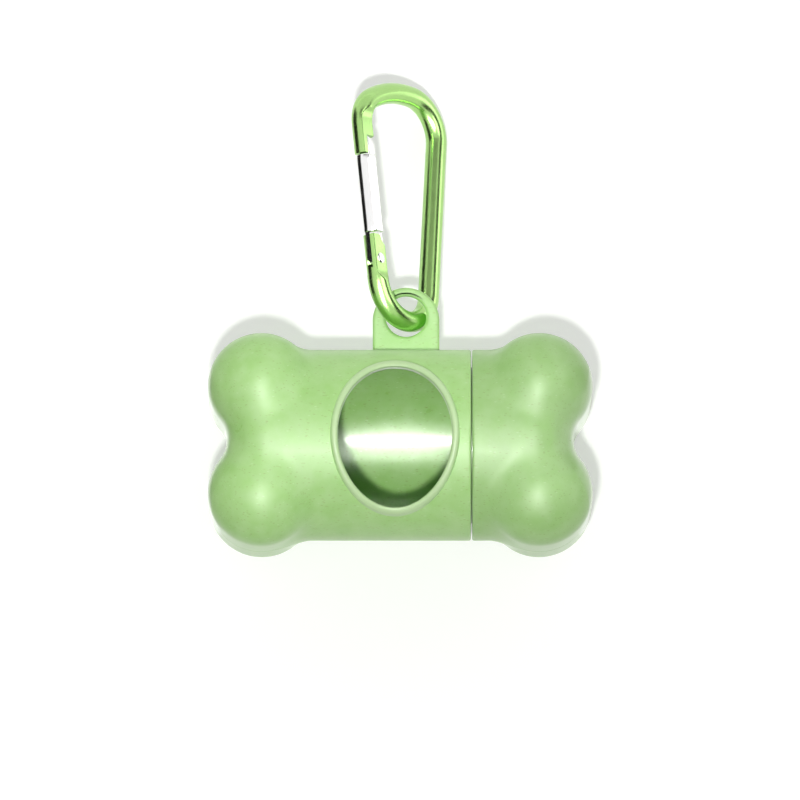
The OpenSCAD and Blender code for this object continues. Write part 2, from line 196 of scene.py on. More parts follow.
# %% Colour function
def linear(code):
    """The linear colour of a hex code, with full opacity."""
    parts = [int(code[k:k + 2], 16) / 255 for k in (0, 2, 4)]
    return [p / 12.92 if p <= 0.04045 else ((p + 0.055) / 1.055) ** 2.4 for p in parts] + [1.0]


print("mid green is", [round(v, 3) for v in linear("ABD887")[:3]])

# %% [markdown]
# ## Camera
#
# A product is shot from straight above with a very long lens, so that near and far parts
# show at one scale: the camera stands 4 m away and its lens is worked out from the field it
# has to cover. It leans 7 degrees towards the foot end, which shows a little of the bone's
# lower side.

# %% Camera
TILT = math.radians(7.3)
AIM = Vector((-0.06, 9.52, 0)) * MM
CAMERA_FAR = 4.0
SENSOR = 36.0
PICTURE_PIXELS = 800
PIXELS_PER_MM = 4.8
FIELD = PICTURE_PIXELS / PIXELS_PER_MM * MM
TOWARDS_CAMERA = Vector((0, -math.sin(TILT), math.cos(TILT)))
camera_data = bpy.data.cameras.new("camera")
camera_data.lens = SENSOR / FIELD * CAMERA_FAR
camera_data.sensor_width = SENSOR
camera = placed("camera", camera_data)
camera.location = AIM + TOWARDS_CAMERA * CAMERA_FAR
camera.rotation_euler = (TILT, 0, 0)
bpy.context.scene.camera = camera
bpy.context.scene.view_settings.view_transform = "Standard"
print("camera at", tuple(round(v, 3) for v in camera.location))

# %% [markdown]
# ## Lamps
#
# The product lies in a light tent. A small flash stands close to the camera's line, a little
# to the foot of the frame and to the left: it lights what faces the camera and throws the
# short, crisp shadows inside the window. Shiny skins show a tall softbox in the same place,
# so a pale band runs along the round tube. A panel on the right lights the clip's bends, and
# a low one lifts its flats. Those three show only as reflections, so they shape the shine and
# leave the plastic's own colour alone.

# %% Flash, softbox and panels
LIGHT_WAY = Vector((-0.033, -0.228, 0.973))


def area_light(name, place, size, power, only_shine=True):
    """A rectangular lamp that looks at the product. With only_shine it lights nothing matt."""
    lamp = bpy.data.lights.new(name, "AREA")
    lamp.shape = "RECTANGLE"
    lamp.size, lamp.size_y = size
    lamp.energy = power
    obj = placed(name, lamp)
    obj.location = place
    obj.rotation_euler = (-Vector(place)).to_track_quat("-Z", "Y").to_euler()
    obj.visible_camera = False
    obj.visible_diffuse = not only_shine


# places and sizes are in metres, powers in watts
area_light("flash", LIGHT_WAY * 1.5, (0.06, 0.06), 13.6, only_shine=False)
area_light("softbox", LIGHT_WAY * 0.6, (0.24, 0.60), 5.2)
area_light("side panel", Vector((0.42, 0.14, 0.36)), (0.40, 0.36), 1.1)
area_light("low panel", Vector((0.075, 0.073, -0.006)), (0.05, 0.028), 0.0064)

# %% [markdown]
# ## Tent
#
# What isn't shiny takes its fill light from the tent's walls, since the tent's top is open and
# dark. The walls are brighter towards the head end, where Y points. Rays that see the
# background, from the camera or off metal, find it white.

# %% Light from the tent's walls
WALL_LIGHT = 0.75
OPEN_TOP_LIGHT = 0.04
HEAD_END_GAIN = 0.85
# how steeply one looks up where the walls end and where the top is open, as a sine
WALLS_END = 0.45
TOP_OPEN_FROM = 0.9


def background_ray(tree):
    """1 on the rays that see the background: the camera's, and those that metal or glass bends."""
    rays = add(tree, "ShaderNodeLightPath", out=None).outputs
    direct = add(tree, "ShaderNodeMath", [rays["Is Camera Ray"], rays["Is Glossy Ray"]], operation="MAXIMUM")
    return add(tree, "ShaderNodeMath", [direct, rays["Is Transmission Ray"]], operation="MAXIMUM")


world = bpy.data.worlds.new("tent")
world.use_nodes = True
bpy.context.scene.world = world
tent = world.node_tree
tent.nodes.clear()
way = add(tent, "ShaderNodeTexCoord", out=0)
facing = add(tent, "ShaderNodeSeparateXYZ", {"Vector": way}, out=None).outputs
wall = add(tent, "ShaderNodeMapRange", {
    "Value": facing["Z"], "From Min": WALLS_END, "From Max": TOP_OPEN_FROM, "To Min": WALL_LIGHT,
    "To Max": OPEN_TOP_LIGHT})
head_end = add(tent, "ShaderNodeMath", [facing["Y"], HEAD_END_GAIN, 1.0], operation="MULTIPLY_ADD")
walls = add(tent, "ShaderNodeMath", [wall, head_end], operation="MULTIPLY")
backdrop = add(tent, "ShaderNodeMix", {"Factor": background_ray(tent), "A": walls, "B": 1.0},
               data_type="FLOAT")
sky = add(tent, "ShaderNodeBackground", {"Color": (1, 1, 1, 1), "Strength": backdrop})
add(tent, "ShaderNodeOutputWorld", {"Surface": sky}, out=None)
print("tent nodes:", len(tent.nodes))

# %% [markdown]
# ## Cards
#
# Metal would show a white tent as one flat tone, so cards stand where its bends look. Two
# dark ones at the sides draw the dark lines along the rods, and a pale grey one at the head
# end tones the clip's spine down.

# %% Cards for the metal's dark lines
def card(name, corner, along, up, tone="1C1C1B"):
    """A card beside the product, seen only in what shines. Its corner and sides are in mm."""
    corner, along, up = (Vector(v) * MM for v in (corner, along, up))
    mesh = bpy.data.meshes.new(name)
    mesh.from_pydata([corner, corner + along, corner + along + up, corner + up], [], [(0, 1, 2, 3)])
    felt, tree = blank_material(name + " felt")
    fibre = add(tree, "ShaderNodeBsdfDiffuse", {"Color": linear(tone)})
    add(tree, "ShaderNodeOutputMaterial", {"Surface": fibre}, out=None)
    mesh.materials.append(felt)
    obj = placed(name, mesh)
    obj.visible_camera = obj.visible_diffuse = obj.visible_shadow = False


card("left card", (-60, -60, TABLE_Z), (0, 170, 0), (0, 0, 50))
card("right card", (60, 10, 0), (0, 110, 0), (0, 0, 36))
card("head card", (-200, 270, 300), (400, 0, 0), (0, 240, 0), "D6D6D4")

# %% [markdown]
# ## Floor
#
# The bone lies on a white table. A plain white board would render pale grey, so where the
# camera looks straight at it, or metal mirrors it, the board also glows. The glow is the same
# in light and shadow, so the shadow round the bone stays. Farther out, where the flash gets
# weaker, the board glows more, and its far edge fades into the white behind.

# %% White table
TABLE_HALF = 3000.0
TABLE_GAP = 0.02
NEAR_GLOW = 0.445
# the distances between which the glow grows from that to full white, in metres
GLOW_GROWS_FROM = 0.12
GLOW_WHITE_AT = 0.8
floor_z = TABLE_Z - TABLE_GAP
floor_mesh = mesh_of("floor", [(x * TABLE_HALF, y * TABLE_HALF, floor_z)
                               for x, y in ((-1, -1), (1, -1), (1, 1), (-1, 1))], [(0, 1, 2, 3)])
floor = placed("floor", floor_mesh)
board, board_tree = blank_material("white board")
spot = add(board_tree, "ShaderNodeTexCoord", out=3)
apart = add(board_tree, "ShaderNodeVectorMath", [spot], out=1, operation="LENGTH")
fade = add(board_tree, "ShaderNodeMapRange", {
    "Value": apart, "From Min": GLOW_GROWS_FROM, "From Max": GLOW_WHITE_AT, "To Min": NEAR_GLOW,
    "To Max": 1.0})
paint = add(board_tree, "ShaderNodeBsdfDiffuse", {"Color": linear("D4D4D2")})
glow = add(board_tree, "ShaderNodeEmission", {"Color": (1, 1, 1, 1), "Strength": fade})
both = add(board_tree, "ShaderNodeAddShader", [paint, glow])
mixed = add(board_tree, "ShaderNodeMixShader", [background_ray(board_tree), paint, both])
add(board_tree, "ShaderNodeOutputMaterial", {"Surface": mixed}, out=None)
floor_mesh.materials.append(board)
print("table top at", round(floor_z, 2), "mm")

# %% [markdown]
# ## Finishes: the plastic's colour
#
# Five finishes cover the object. Each starts from what the real one is and how its surface
# was made. The patterns are drawn in Object coordinates, so they stay put when the cap turns
# or the clip swings.
#
# The bone is moulded polypropylene with short straw fibres in it. The melt leaves a faint
# cloudy colour, and the fibres show as small dark and pale flecks that lie every way. Real
# fibres are finer still, and these are drawn coarse enough to show.

# %% Clouds and straw fibres
CLOUD = 4 * MM
FIBRE_CELL = (0.9 * MM, 0.30 * MM, 0.30 * MM)
FIBRE_STRENGTH = 0.34


def flecked_colour(tree, at, low, high, fleck_dark, fleck_pale, fleck_share):
    """A cloudy colour with fibres in it, which lie three ways."""
    cloud = add(tree, "ShaderNodeTexNoise", {"Vector": at, "Scale": 1 / CLOUD, "Detail": 4.0})
    colour = add(tree, "ShaderNodeMix", {0: cloud, 6: linear(low), 7: linear(high)}, out=2, data_type="RGBA")
    kinds = ((fleck_dark, fleck_share), (fleck_dark, fleck_share * 0.7), (fleck_pale, fleck_share * 0.4))
    for turn, (tint, share) in enumerate(kinds):
        lie = add(tree, "ShaderNodeMapping", {
            "Vector": at, "Rotation": (0.7 * turn, 1.1 * turn, 0.9 + 1.3 * turn),
            "Scale": [1 / size for size in FIBRE_CELL]})
        cell = add(tree, "ShaderNodeTexVoronoi", {"Vector": lie, "Scale": 1.0}, out=None)
        core = add(tree, "ShaderNodeMapRange", {"Value": cell.outputs["Distance"], "From Min": 0.16,
                                                "From Max": 0.42, "To Min": 1.0, "To Max": 0.0})
        pick = add(tree, "ShaderNodeSeparateColor", {"Color": cell.outputs["Color"]})
        chosen = add(tree, "ShaderNodeMath", [pick, share], operation="LESS_THAN")
        fibre = add(tree, "ShaderNodeMath", [core, chosen], operation="MULTIPLY")
        strength = add(tree, "ShaderNodeMath", [fibre, FIBRE_STRENGTH], operation="MULTIPLY")
        colour = add(tree, "ShaderNodeMix", {0: strength, 6: colour, 7: linear(tint)}, out=2,
                     data_type="RGBA")
    return colour


print("fibre cells:", [round(size / MM, 2) for size in FIBRE_CELL], "mm")

# %% [markdown]
# ## Finishes: painted highlight on the rim, and the darker cap
#
# The window's rim is painted paler. This is a painted highlight along the bead, whose own shine
# stays too faint. The cap is coloured a little darker than the body. Both are places on the
# bone, so the position decides the colour: how far a point is from the window's oval, and which
# side of the seam it lies on.

# %% Painted rim highlight and darker cap
# the rim's painted highlight: where its band fades out, and how far it pales the colour
RIM_HIGHLIGHT_FROM = 0.035
RIM_HIGHLIGHT_TO = 0.065
RIM_HIGHLIGHT_PALER = 0.75
CAP_DARKER = 0.16


def rim_highlight_and_cap_tone(tree, at, colour, rim_highlight):
    """The given colour, with a painted highlight paling the window's rim, and darker on the cap."""
    place = add(tree, "ShaderNodeMapping", {
        "Vector": at, "Location": (-WINDOW_X / RIM_A, 0, 0),
        "Scale": (1 / (RIM_A * MM), 1 / (RIM_B * MM), 0)})
    reach = add(tree, "ShaderNodeVectorMath", [place], out=1, operation="LENGTH")
    off = add(tree, "ShaderNodeMath", [reach, 1.0], operation="SUBTRACT")
    off = add(tree, "ShaderNodeMath", [off], operation="ABSOLUTE")
    # painted highlight: a band round the window's oval is mixed towards the paler tint
    on_rim = add(tree, "ShaderNodeMapRange", {"Value": off, "From Min": RIM_HIGHLIGHT_FROM, "From Max": RIM_HIGHLIGHT_TO,
                                              "To Min": RIM_HIGHLIGHT_PALER, "To Max": 0.0})
    where = add(tree, "ShaderNodeSeparateXYZ", [at], out=None).outputs
    front = add(tree, "ShaderNodeMath", [where[2], 0.0], operation="GREATER_THAN")
    rim_lit_share = add(tree, "ShaderNodeMath", [on_rim, front], operation="MULTIPLY")
    colour = add(tree, "ShaderNodeMix", {0: rim_lit_share, 6: colour, 7: linear(rim_highlight)}, out=2, data_type="RGBA")
    # the cap is coloured darker than the body
    in_cap = add(tree, "ShaderNodeMapRange", {
        "Value": where[0], "From Min": (SEAM_X - 0.05) * MM, "From Max": (SEAM_X + 0.05) * MM,
        "To Min": 0.0, "To Max": CAP_DARKER})
    return add(tree, "ShaderNodeMix", {0: in_cap, 6: colour, 7: (0, 0, 0, 1)}, out=2, data_type="RGBA")


print("rubbed band:", round((RIM_HIGHLIGHT_TO - RIM_HIGHLIGHT_FROM) * RIM_A, 2), "mm wide at its soft edge")

# %% [markdown]
# ## Finishes: the plastic's gloss
#
# A mould's polish is not perfect, so the gloss wanders over 4 mm and the skin ripples a
# little. The core that forms the bay is polished better than the cavity round it, so the wall
# inside the window shines more. A little sheen and light under the skin soften the whole, as
# they do on real polypropylene.

# %% Polypropylene with fibres, and plain
POLISH_WANDER = 4 * MM
RIPPLE = 1.6 * MM


def plastic(name, flecks, rim_highlight):
    """Moulded polypropylene: soft green, semi-gloss, finely specked, with a glossier bay."""
    made, tree = blank_material(name)
    at = add(tree, "ShaderNodeTexCoord", out=3)
    colour = rim_highlight_and_cap_tone(tree, at, flecked_colour(tree, at, *flecks), rim_highlight)
    wander = add(tree, "ShaderNodeTexNoise", {"Vector": at, "Scale": 1 / POLISH_WANDER, "Detail": 3.0})
    rough = add(tree, "ShaderNodeMapRange", {"Value": wander, "From Min": 0.3, "From Max": 0.7,
                                             "To Min": 0.47, "To Max": 0.55})
    off_axis = add(tree, "ShaderNodeVectorMath", [at, (0, 1, 1)], operation="MULTIPLY")
    radius = add(tree, "ShaderNodeVectorMath", [off_axis], out=1, operation="LENGTH")
    outside = add(tree, "ShaderNodeMapRange", {"Value": radius, "From Min": (BAY_R + 0.2) * MM,
                                               "From Max": (BAY_R + 0.8) * MM})
    polish = add(tree, "ShaderNodeMapRange", {"Value": outside, "To Min": 0.58, "To Max": 1.0})
    shine = add(tree, "ShaderNodeMapRange", {"Value": outside, "To Min": 0.5, "To Max": 0.06})
    gloss = add(tree, "ShaderNodeMath", [rough, polish], operation="MULTIPLY")
    ripple = add(tree, "ShaderNodeTexNoise", {"Vector": at, "Scale": 1 / RIPPLE, "Detail": 2.0})
    relief = add(tree, "ShaderNodeBump", {"Strength": 0.10, "Distance": 0.05 * MM, "Height": ripple})
    surface = add(tree, "ShaderNodeBsdfPrincipled", {
        "Base Color": colour, "Roughness": gloss, "IOR": 1.49, "Normal": relief,
        "Coat Weight": shine, "Coat Roughness": 0.25, "Coat IOR": 1.5,
        "Sheen Weight": 0.4, "Sheen Roughness": 0.35,
        "Subsurface Weight": 0.06, "Subsurface Radius": (0.9, 1.3, 0.5), "Subsurface Scale": 1 * MM})
    add(tree, "ShaderNodeOutputMaterial", {"Surface": surface}, out=None)
    return made


# the last colour of each is the paler tint of the rim's painted highlight
straw_green = plastic("straw-filled polypropylene", ("95CB69", "B9DF9A", "7E8F3E", "D9EFB9", 0.10), "C6E0AE")
plain_green = plastic("plain polypropylene", ("93C56C", "9CCD76", "88B85E", "A8D586", 0.04), "A2CC82")
print("plastics:", straw_green.name, "and", plain_green.name)

# %% [markdown]
# ## Metals
#
# The clip's body is aluminium that was tumbled, bright-dipped and anodised green: a metal
# whose own colour is green, with very fine tumbling marks. The gate is the same alloy left
# bare and polished. The small spring is drawn steel wire, and its pin is steel as well.

# %% Anodised, polished and drawn metal
COLOUR_DRIFT = 5 * MM
GLOSS_DRIFT = 2.2 * MM


def metal(name, colours, roughness, mark_mm, depth_mm):
    """A metal with slow colour change, uneven gloss and fine marks of the given size."""
    made, tree = blank_material(name)
    at = add(tree, "ShaderNodeTexCoord", out=3)
    slow = add(tree, "ShaderNodeTexNoise", {"Vector": at, "Scale": 1 / COLOUR_DRIFT, "Detail": 2.0})
    low, high = (linear(code) for code in colours)
    colour = add(tree, "ShaderNodeMix", {0: slow, 6: low, 7: high}, out=2, data_type="RGBA")
    uneven = add(tree, "ShaderNodeTexNoise", {"Vector": at, "Scale": 1 / GLOSS_DRIFT, "Detail": 4.0})
    rough = add(tree, "ShaderNodeMapRange", {"Value": uneven, "From Min": 0.3, "From Max": 0.7,
                                             "To Min": roughness[0], "To Max": roughness[1]})
    marks = add(tree, "ShaderNodeTexNoise", {"Vector": at, "Scale": 1 / (mark_mm * MM), "Detail": 3.0})
    relief = add(tree, "ShaderNodeBump", {"Strength": 0.12, "Distance": depth_mm * MM, "Height": marks})
    surface = add(tree, "ShaderNodeBsdfPrincipled", {
        "Base Color": colour, "Metallic": 1.0, "Roughness": rough, "Normal": relief})
    add(tree, "ShaderNodeOutputMaterial", {"Surface": surface}, out=None)
    return made


green_anodised = metal("green anodised aluminium", ("A0CC79", "AED787"), (0.20, 0.27), 0.25, 0.02)
polished_alloy = metal("polished bare aluminium", ("F0F0EF", "FAFAF9"), (0.12, 0.18), 0.3, 0.01)
spring_steel = metal("drawn spring steel", ("AEB1B5", "BEC1C4"), (0.22, 0.32), 0.2, 0.02)
print("metals:", green_anodised.name, polished_alloy.name, spring_steel.name)

# %% [markdown]
# ## A soft minimum
#
# The bone is one smooth form with a rule: a tube with rounded ends and four upright sausages.
# The lower of two distances joins two forms with a hard crease. A soft minimum fills that
# crease with a fillet, which leaves valleys like those of a polished mould.

# %% Soft minimum of two distances
def soft_min(tree, a, b, softness):
    """The lower of two distances, with a fillet of the given size where they meet."""
    low = add(tree, "ShaderNodeMath", [a, b], operation="MINIMUM")
    high = add(tree, "ShaderNodeMath", [low, softness], operation="MAXIMUM")
    under_a = add(tree, "ShaderNodeMath", [softness, a], operation="SUBTRACT")
    under_b = add(tree, "ShaderNodeMath", [softness, b], operation="SUBTRACT")
    over_a = add(tree, "ShaderNodeMath", [under_a, 0.0], operation="MAXIMUM")
    over_b = add(tree, "ShaderNodeMath", [under_b, 0.0], operation="MAXIMUM")
    pair = add(tree, "ShaderNodeCombineXYZ", [over_a, over_b])
    bite = add(tree, "ShaderNodeVectorMath", [pair], out=1, operation="LENGTH")
    return add(tree, "ShaderNodeMath", [high, bite], operation="SUBTRACT")


print("blends in mm: flare", FLARE_BLEND, "valley", VALLEY_BLEND)

# %% [markdown]
# ## The rule of the bone
#
# The rule gives each point its distance from the bone's skin. The bone is the same on both
# sides of its middle, so the rule folds X and Z first and then needs one end, one upper half
# and two lobes.

# %% Distance from the bone's skin
def tube_distance(tree, given, x, y, z):
    """Distance from a tube along X whose ends are rounded."""
    end = add(tree, "ShaderNodeMath", [given["End"], given["End round"]], operation="SUBTRACT")
    core = add(tree, "ShaderNodeMath", [given["Tube radius"], given["End round"]], operation="SUBTRACT")
    across = add(tree, "ShaderNodeCombineXYZ", [0.0, y, z])
    around = add(tree, "ShaderNodeVectorMath", [across], out=1, operation="LENGTH")
    u = add(tree, "ShaderNodeMath", [x, end], operation="SUBTRACT")
    w = add(tree, "ShaderNodeMath", [around, core], operation="SUBTRACT")
    far_u = add(tree, "ShaderNodeMath", [u, 0.0], operation="MAXIMUM")
    far_w = add(tree, "ShaderNodeMath", [w, 0.0], operation="MAXIMUM")
    corner = add(tree, "ShaderNodeCombineXYZ", [far_u, far_w])
    outside = add(tree, "ShaderNodeVectorMath", [corner], out=1, operation="LENGTH")
    deepest = add(tree, "ShaderNodeMath", [u, w], operation="MAXIMUM")
    inside = add(tree, "ShaderNodeMath", [deepest, 0.0], operation="MINIMUM")
    rounded = add(tree, "ShaderNodeMath", [outside, inside], operation="ADD")
    return add(tree, "ShaderNodeMath", [rounded, given["End round"]], operation="SUBTRACT")


def lobe_distances(tree, given, x, y, z):
    """Distances from the two lobes of one end, each an upright sausage."""
    along = add(tree, "ShaderNodeMath", [x, given["Lobe place"]], operation="SUBTRACT")
    over = add(tree, "ShaderNodeMath", [z, given["Lobe rise"]], operation="SUBTRACT")
    rise = add(tree, "ShaderNodeMath", [over, 0.0], operation="MAXIMUM")
    lobes = []
    for side in ("SUBTRACT", "ADD"):
        aside = add(tree, "ShaderNodeMath", [y, given["Lobe offset"]], operation=side)
        spot = add(tree, "ShaderNodeCombineXYZ", [along, aside, rise])
        near = add(tree, "ShaderNodeVectorMath", [spot], out=1, operation="LENGTH")
        lobes.append(add(tree, "ShaderNodeMath", [near, given["Lobe radius"]], operation="SUBTRACT"))
    return lobes


def bone_rule(tree, given):
    """Distance of the current position from the bone's skin, below zero inside."""
    here = add(tree, "GeometryNodeInputPosition")
    split = add(tree, "ShaderNodeSeparateXYZ", [here], out=None).outputs
    x = add(tree, "ShaderNodeMath", [split[0]], operation="ABSOLUTE")
    z = add(tree, "ShaderNodeMath", [split[2]], operation="ABSOLUTE")
    tube = tube_distance(tree, given, x, split[1], z)
    near_lobe, far_lobe = lobe_distances(tree, given, x, split[1], z)
    pair = soft_min(tree, near_lobe, far_lobe, given["Valley blend"])
    return soft_min(tree, tube, pair, given["Flare blend"])


print("lobes stand at x =", round(LOBE_X, 2), "and y =", LOBE_Y, "mm")

# %% [markdown]
# ## Points that walk to the skin
#
# A box with subdivision would need many hand-placed points for the bone's valleys. Geometry
# Nodes does it with the rule instead: every point of a simple sheet walks along its own ray
# until the rule says it has reached the skin. A step is 0.7 of what is left, because the
# distances that a soft minimum gives aren't exact near a valley.

# %% Geometry tree that walks points to the bone's surface
STRIDE = 0.7
WALK_STEPS = 90


def bone_tree():
    """Walks every point of a sheet of rays to the bone's skin, less its inset and drop."""
    tree, given = geometry_tree("bone skin", {
        "Tube radius": TUBE_R * MM, "End": END_X * MM, "End round": END_ROUND * MM,
        "Lobe place": LOBE_X * MM, "Lobe radius": LOBE_R * MM, "Lobe offset": LOBE_Y * MM,
        "Lobe rise": LOBE_RISE * MM, "Valley blend": VALLEY_BLEND * MM,
        "Flare blend": FLARE_BLEND * MM, "Steps": WALK_STEPS})
    aim = add(tree, "GeometryNodeInputNamedAttribute", {"Name": "aim"}, data_type="FLOAT_VECTOR")
    inset = add(tree, "GeometryNodeInputNamedAttribute", {"Name": "inset"}, data_type="FLOAT")
    drop = add(tree, "GeometryNodeInputNamedAttribute", {"Name": "drop"}, data_type="FLOAT")
    start = add(tree, "GeometryNodeRepeatInput", out=None)
    stop = add(tree, "GeometryNodeRepeatOutput", out=None)
    start.pair_with_output(stop)
    tree.links.new(given["Steps"], start.inputs["Iterations"])
    tree.links.new(given["Geometry"], start.inputs["Geometry"])
    gap = add(tree, "ShaderNodeMath", [bone_rule(tree, given), inset], operation="ADD")
    stride = add(tree, "ShaderNodeMath", [gap, -STRIDE], operation="MULTIPLY")
    step = add(tree, "ShaderNodeVectorMath", {0: aim, "Scale": stride}, operation="SCALE")
    walked = add(tree, "GeometryNodeSetPosition", {"Geometry": start.outputs["Geometry"], "Offset": step})
    tree.links.new(walked, stop.inputs["Geometry"])
    back = add(tree, "ShaderNodeMath", [drop, -1.0], operation="MULTIPLY")
    sink = add(tree, "ShaderNodeVectorMath", {0: aim, "Scale": back}, operation="SCALE")
    eased = add(tree, "GeometryNodeSetPosition", {"Geometry": stop.outputs["Geometry"], "Offset": sink})
    close_tree(tree, eased, given)
    return tree


skin_tree = bone_tree()
print("bone skin tree:", len(skin_tree.nodes), "nodes")

# %% [markdown]
# ## Rays
#
# A ray starts on the bone's axis and aims outwards. Straight rows of rays cover the tube, and
# polar rows fan out over the lobed end. The drop is how far a point sinks under the skin:
# along the parting line it leaves the fine groove of the mould, and at a mouth it rounds the
# edge.

# %% Grid of rays
GROOVE = 0.13
BESIDE_GROOVE = 0.007
# how far each row lies behind the mouth, and how far it sinks
MOUTH_EDGE = [(0.0, 0.5), (0.05, 0.28), (0.14, 0.13), (0.28, 0.04), (0.5, 0.0)]
ANGLES = np.concatenate([[0, BESIDE_GROOVE], np.linspace(0, math.pi, 73)[1:-1],
                         [math.pi - BESIDE_GROOVE, math.pi]])
POLAR = np.radians(np.linspace(0, 90, 49))[1:]


def ray_grid(xs, drops):
    """Rays for straight rows at xs and then polar rows over the end: (start, aim, drop)."""
    rows = [(x, 0.0, d) for x, d in zip(xs, drops)] + [(RAY_X, p, 0.0) for p in POLAR]
    start = np.zeros((len(rows), len(ANGLES), 3))
    aim = np.zeros_like(start)
    drop = np.zeros(start.shape[:2])
    for k, (x, polar, d) in enumerate(rows):
        start[k, :, 0] = x
        aim[k, :, 0] = math.sin(polar)
        aim[k, :, 1] = math.cos(polar) * np.cos(ANGLES)
        aim[k, :, 2] = math.cos(polar) * np.sin(ANGLES)
        drop[k] = d
        drop[k, [0, -1]] += GROOVE
    return start, aim, drop


def grid_faces(rows, cols, base=0):
    """Four-sided faces between the rows and columns of a grid of points."""
    i, j = np.meshgrid(np.arange(rows - 1), np.arange(cols - 1), indexing="ij")
    a = base + i * cols + j
    return np.stack([a, a + 1, a + cols + 1, a + cols], axis=-1).reshape(-1, 4).tolist()


print("columns:", len(ANGLES), "polar rows:", len(POLAR))

# %% [markdown]
# ## Sheets of rays
#
# A moulded shell has an outer skin, an inner skin 1.9 mm behind it, and narrow faces where
# they meet at the parting line, the mouth and the window. A sheet says where each point's ray
# starts, where it aims, and how far inside the bone it stops. Both skins use the same
# numbering, so the narrow faces find themselves: they join the edges that one face uses.

# %% Closed sheet of rays
RAY_START = 2.0


def without_repeats(face):
    """The face with its doubled corners dropped, or None if too few are left."""
    kept = [v for k, v in enumerate(face) if v != face[k - 1]]
    return kept if len(set(kept)) > 2 else None


def ray_sheet(name, outer, inner, faces, facing):
    """A closed sheet of rays. outer and inner are (start, aim, drop) for matching points."""
    arrays = []
    for (start, aim, drop), inset in ((outer, 0.0), (inner, WALL)):
        start, aim = start.reshape(-1, 3) * facing, aim.reshape(-1, 3) * facing
        arrays.append((start + aim * RAY_START, aim, np.zeros(len(start)) + inset, drop.ravel()))
    _, first, same = np.unique(np.round(arrays[0][0], 4), axis=0, return_index=True, return_inverse=True)
    same = same.ravel()
    skin = [f for f in (without_repeats([int(same[v]) for v in face]) for face in faces) if f]
    use = {}
    for f in skin:
        for k, v in enumerate(f):
            use.setdefault(frozenset((v, f[k - 1])), []).append((f[k - 1], v))
    n = len(first)
    rim = [(b, a, a + n, b + n) for pairs in use.values() if len(pairs) == 1 for a, b in pairs]
    back = [[v + n for v in reversed(f)] for f in skin]
    starts, aims, insets, drops = [np.concatenate([a[first], b[first]]) for a, b in zip(*arrays)]
    mesh = mesh_of(name, starts.tolist(), skin + back + rim)
    for key, kind, values in (("aim", "FLOAT_VECTOR", aims), ("inset", "FLOAT", insets * MM),
                              ("drop", "FLOAT", drops * MM)):
        made = mesh.attributes.new(key, kind, "POINT")
        field = "vector" if kind == "FLOAT_VECTOR" else "value"
        made.data.foreach_set(field, values.astype(np.float32).ravel())
    return mesh


print("sheets start", RAY_START, "mm off the axis, with a wall of", WALL, "mm")

# %% [markdown]
# ## Finishing a mesh
#
# Each finished mesh has its faces turned outwards and its shading smooth, except at sharp
# edges. One visible piece is often several closed meshes that touch, as a shell and its rim
# do, and they are joined into one object.

# %% Outward faces and joined pieces
SHARP = 38


def outward(mesh, sharp=SHARP):
    """Faces outwards, and smooth except where two faces meet at a sharp angle in degrees."""
    bm = bmesh.new()
    bm.from_mesh(mesh)
    bmesh.ops.recalc_face_normals(bm, faces=bm.faces)
    bm.to_mesh(mesh)
    bm.free()
    for key in ("aim", "inset", "drop"):
        if key in mesh.attributes:
            mesh.attributes.remove(mesh.attributes[key])
    mesh.shade_smooth()
    mesh.set_sharp_from_angle(angle=math.radians(sharp))
    return mesh


def piece(name, meshes, material):
    """One object made of one or more closed meshes."""
    bm = bmesh.new()
    for mesh in meshes:
        bm.from_mesh(mesh)
    whole = bpy.data.meshes.new(name)
    bm.to_mesh(whole)
    bm.free()
    whole.materials.clear()
    whole.materials.append(material)
    for polygon in whole.polygons:
        polygon.material_index = 0
    return placed(name, whole)


def reach_of(mesh):
    """Lowest and highest corner of a mesh in millimetres, rounded for printing."""
    return [[round(pick(v.co[k] for v in mesh.vertices) / MM, 2) for k in range(3)] for pick in (min, max)]


print("edges sharper than", SHARP, "degrees stay sharp")

# %% [markdown]
# ## Cap shells and the body's rear shell
#
# These are plain sheets of rays. The edge at the mouth sinks half a millimetre, so it is
# rounded and catches a pale line beside the seam, and both long edges sink a little too, which
# leaves the fine groove of the mould's parting line.

# %% Three shells without a window
def plain_shell(name, mouth_x, tube_xs, facing):
    """A shell from its mouth over the tube and the lobed end. facing mirrors it."""
    xs = [mouth_x + along for along, _ in MOUTH_EDGE] + list(tube_xs)
    drops = [sink for _, sink in MOUTH_EDGE] + [0.0] * len(tube_xs)
    start, aim, drop = ray_grid(xs, drops)
    faces = grid_faces(*drop.shape)
    sheet = ray_sheet(name, (start, aim, drop), (start, aim, drop * 0), faces, facing)
    return outward(grown(name, sheet, skin_tree, straw_green))


LOBED_FROM = 16.0
TUBE_FROM = -13.0
TUBE_STEP = 1.5
near_end = [LOBED_FROM + k for k in range(9)]
long_tube = [TUBE_FROM + TUBE_STEP * k for k in range(20)] + near_end[1:]
cap_mouth = SEAM_X + SEAM_GAP
cap_front_mesh = plain_shell("cap_front", cap_mouth, near_end, (1, 1, 1))
cap_rear_mesh = plain_shell("cap_rear", cap_mouth, near_end, (1, 1, -1))
body_rear_mesh = plain_shell("body_rear", -SEAM_X, long_tube, (-1, 1, -1))
print("faces:", len(cap_front_mesh.polygons), len(body_rear_mesh.polygons))

# %% [markdown]
# ## The body's front shell
#
# This shell has the oval window. A boolean cut would leave long thin faces that shade badly,
# so the faces round the window are laid as rings that change from the oval to a rectangle,
# and the plain grid goes on from the rectangle. The window is cut straight down, as a mould's
# core leaves it, so the inner skin's rays aim a little wider than the outer skin's.

# %% Patch round the window
PATCH_FROM = -LOBED_FROM
PATCH_TO = SEAM_X - 0.5
PATCH_RINGS = 16
RING_CROWDING = 1.3
patch_xs = np.linspace(PATCH_FROM, PATCH_TO, 21)


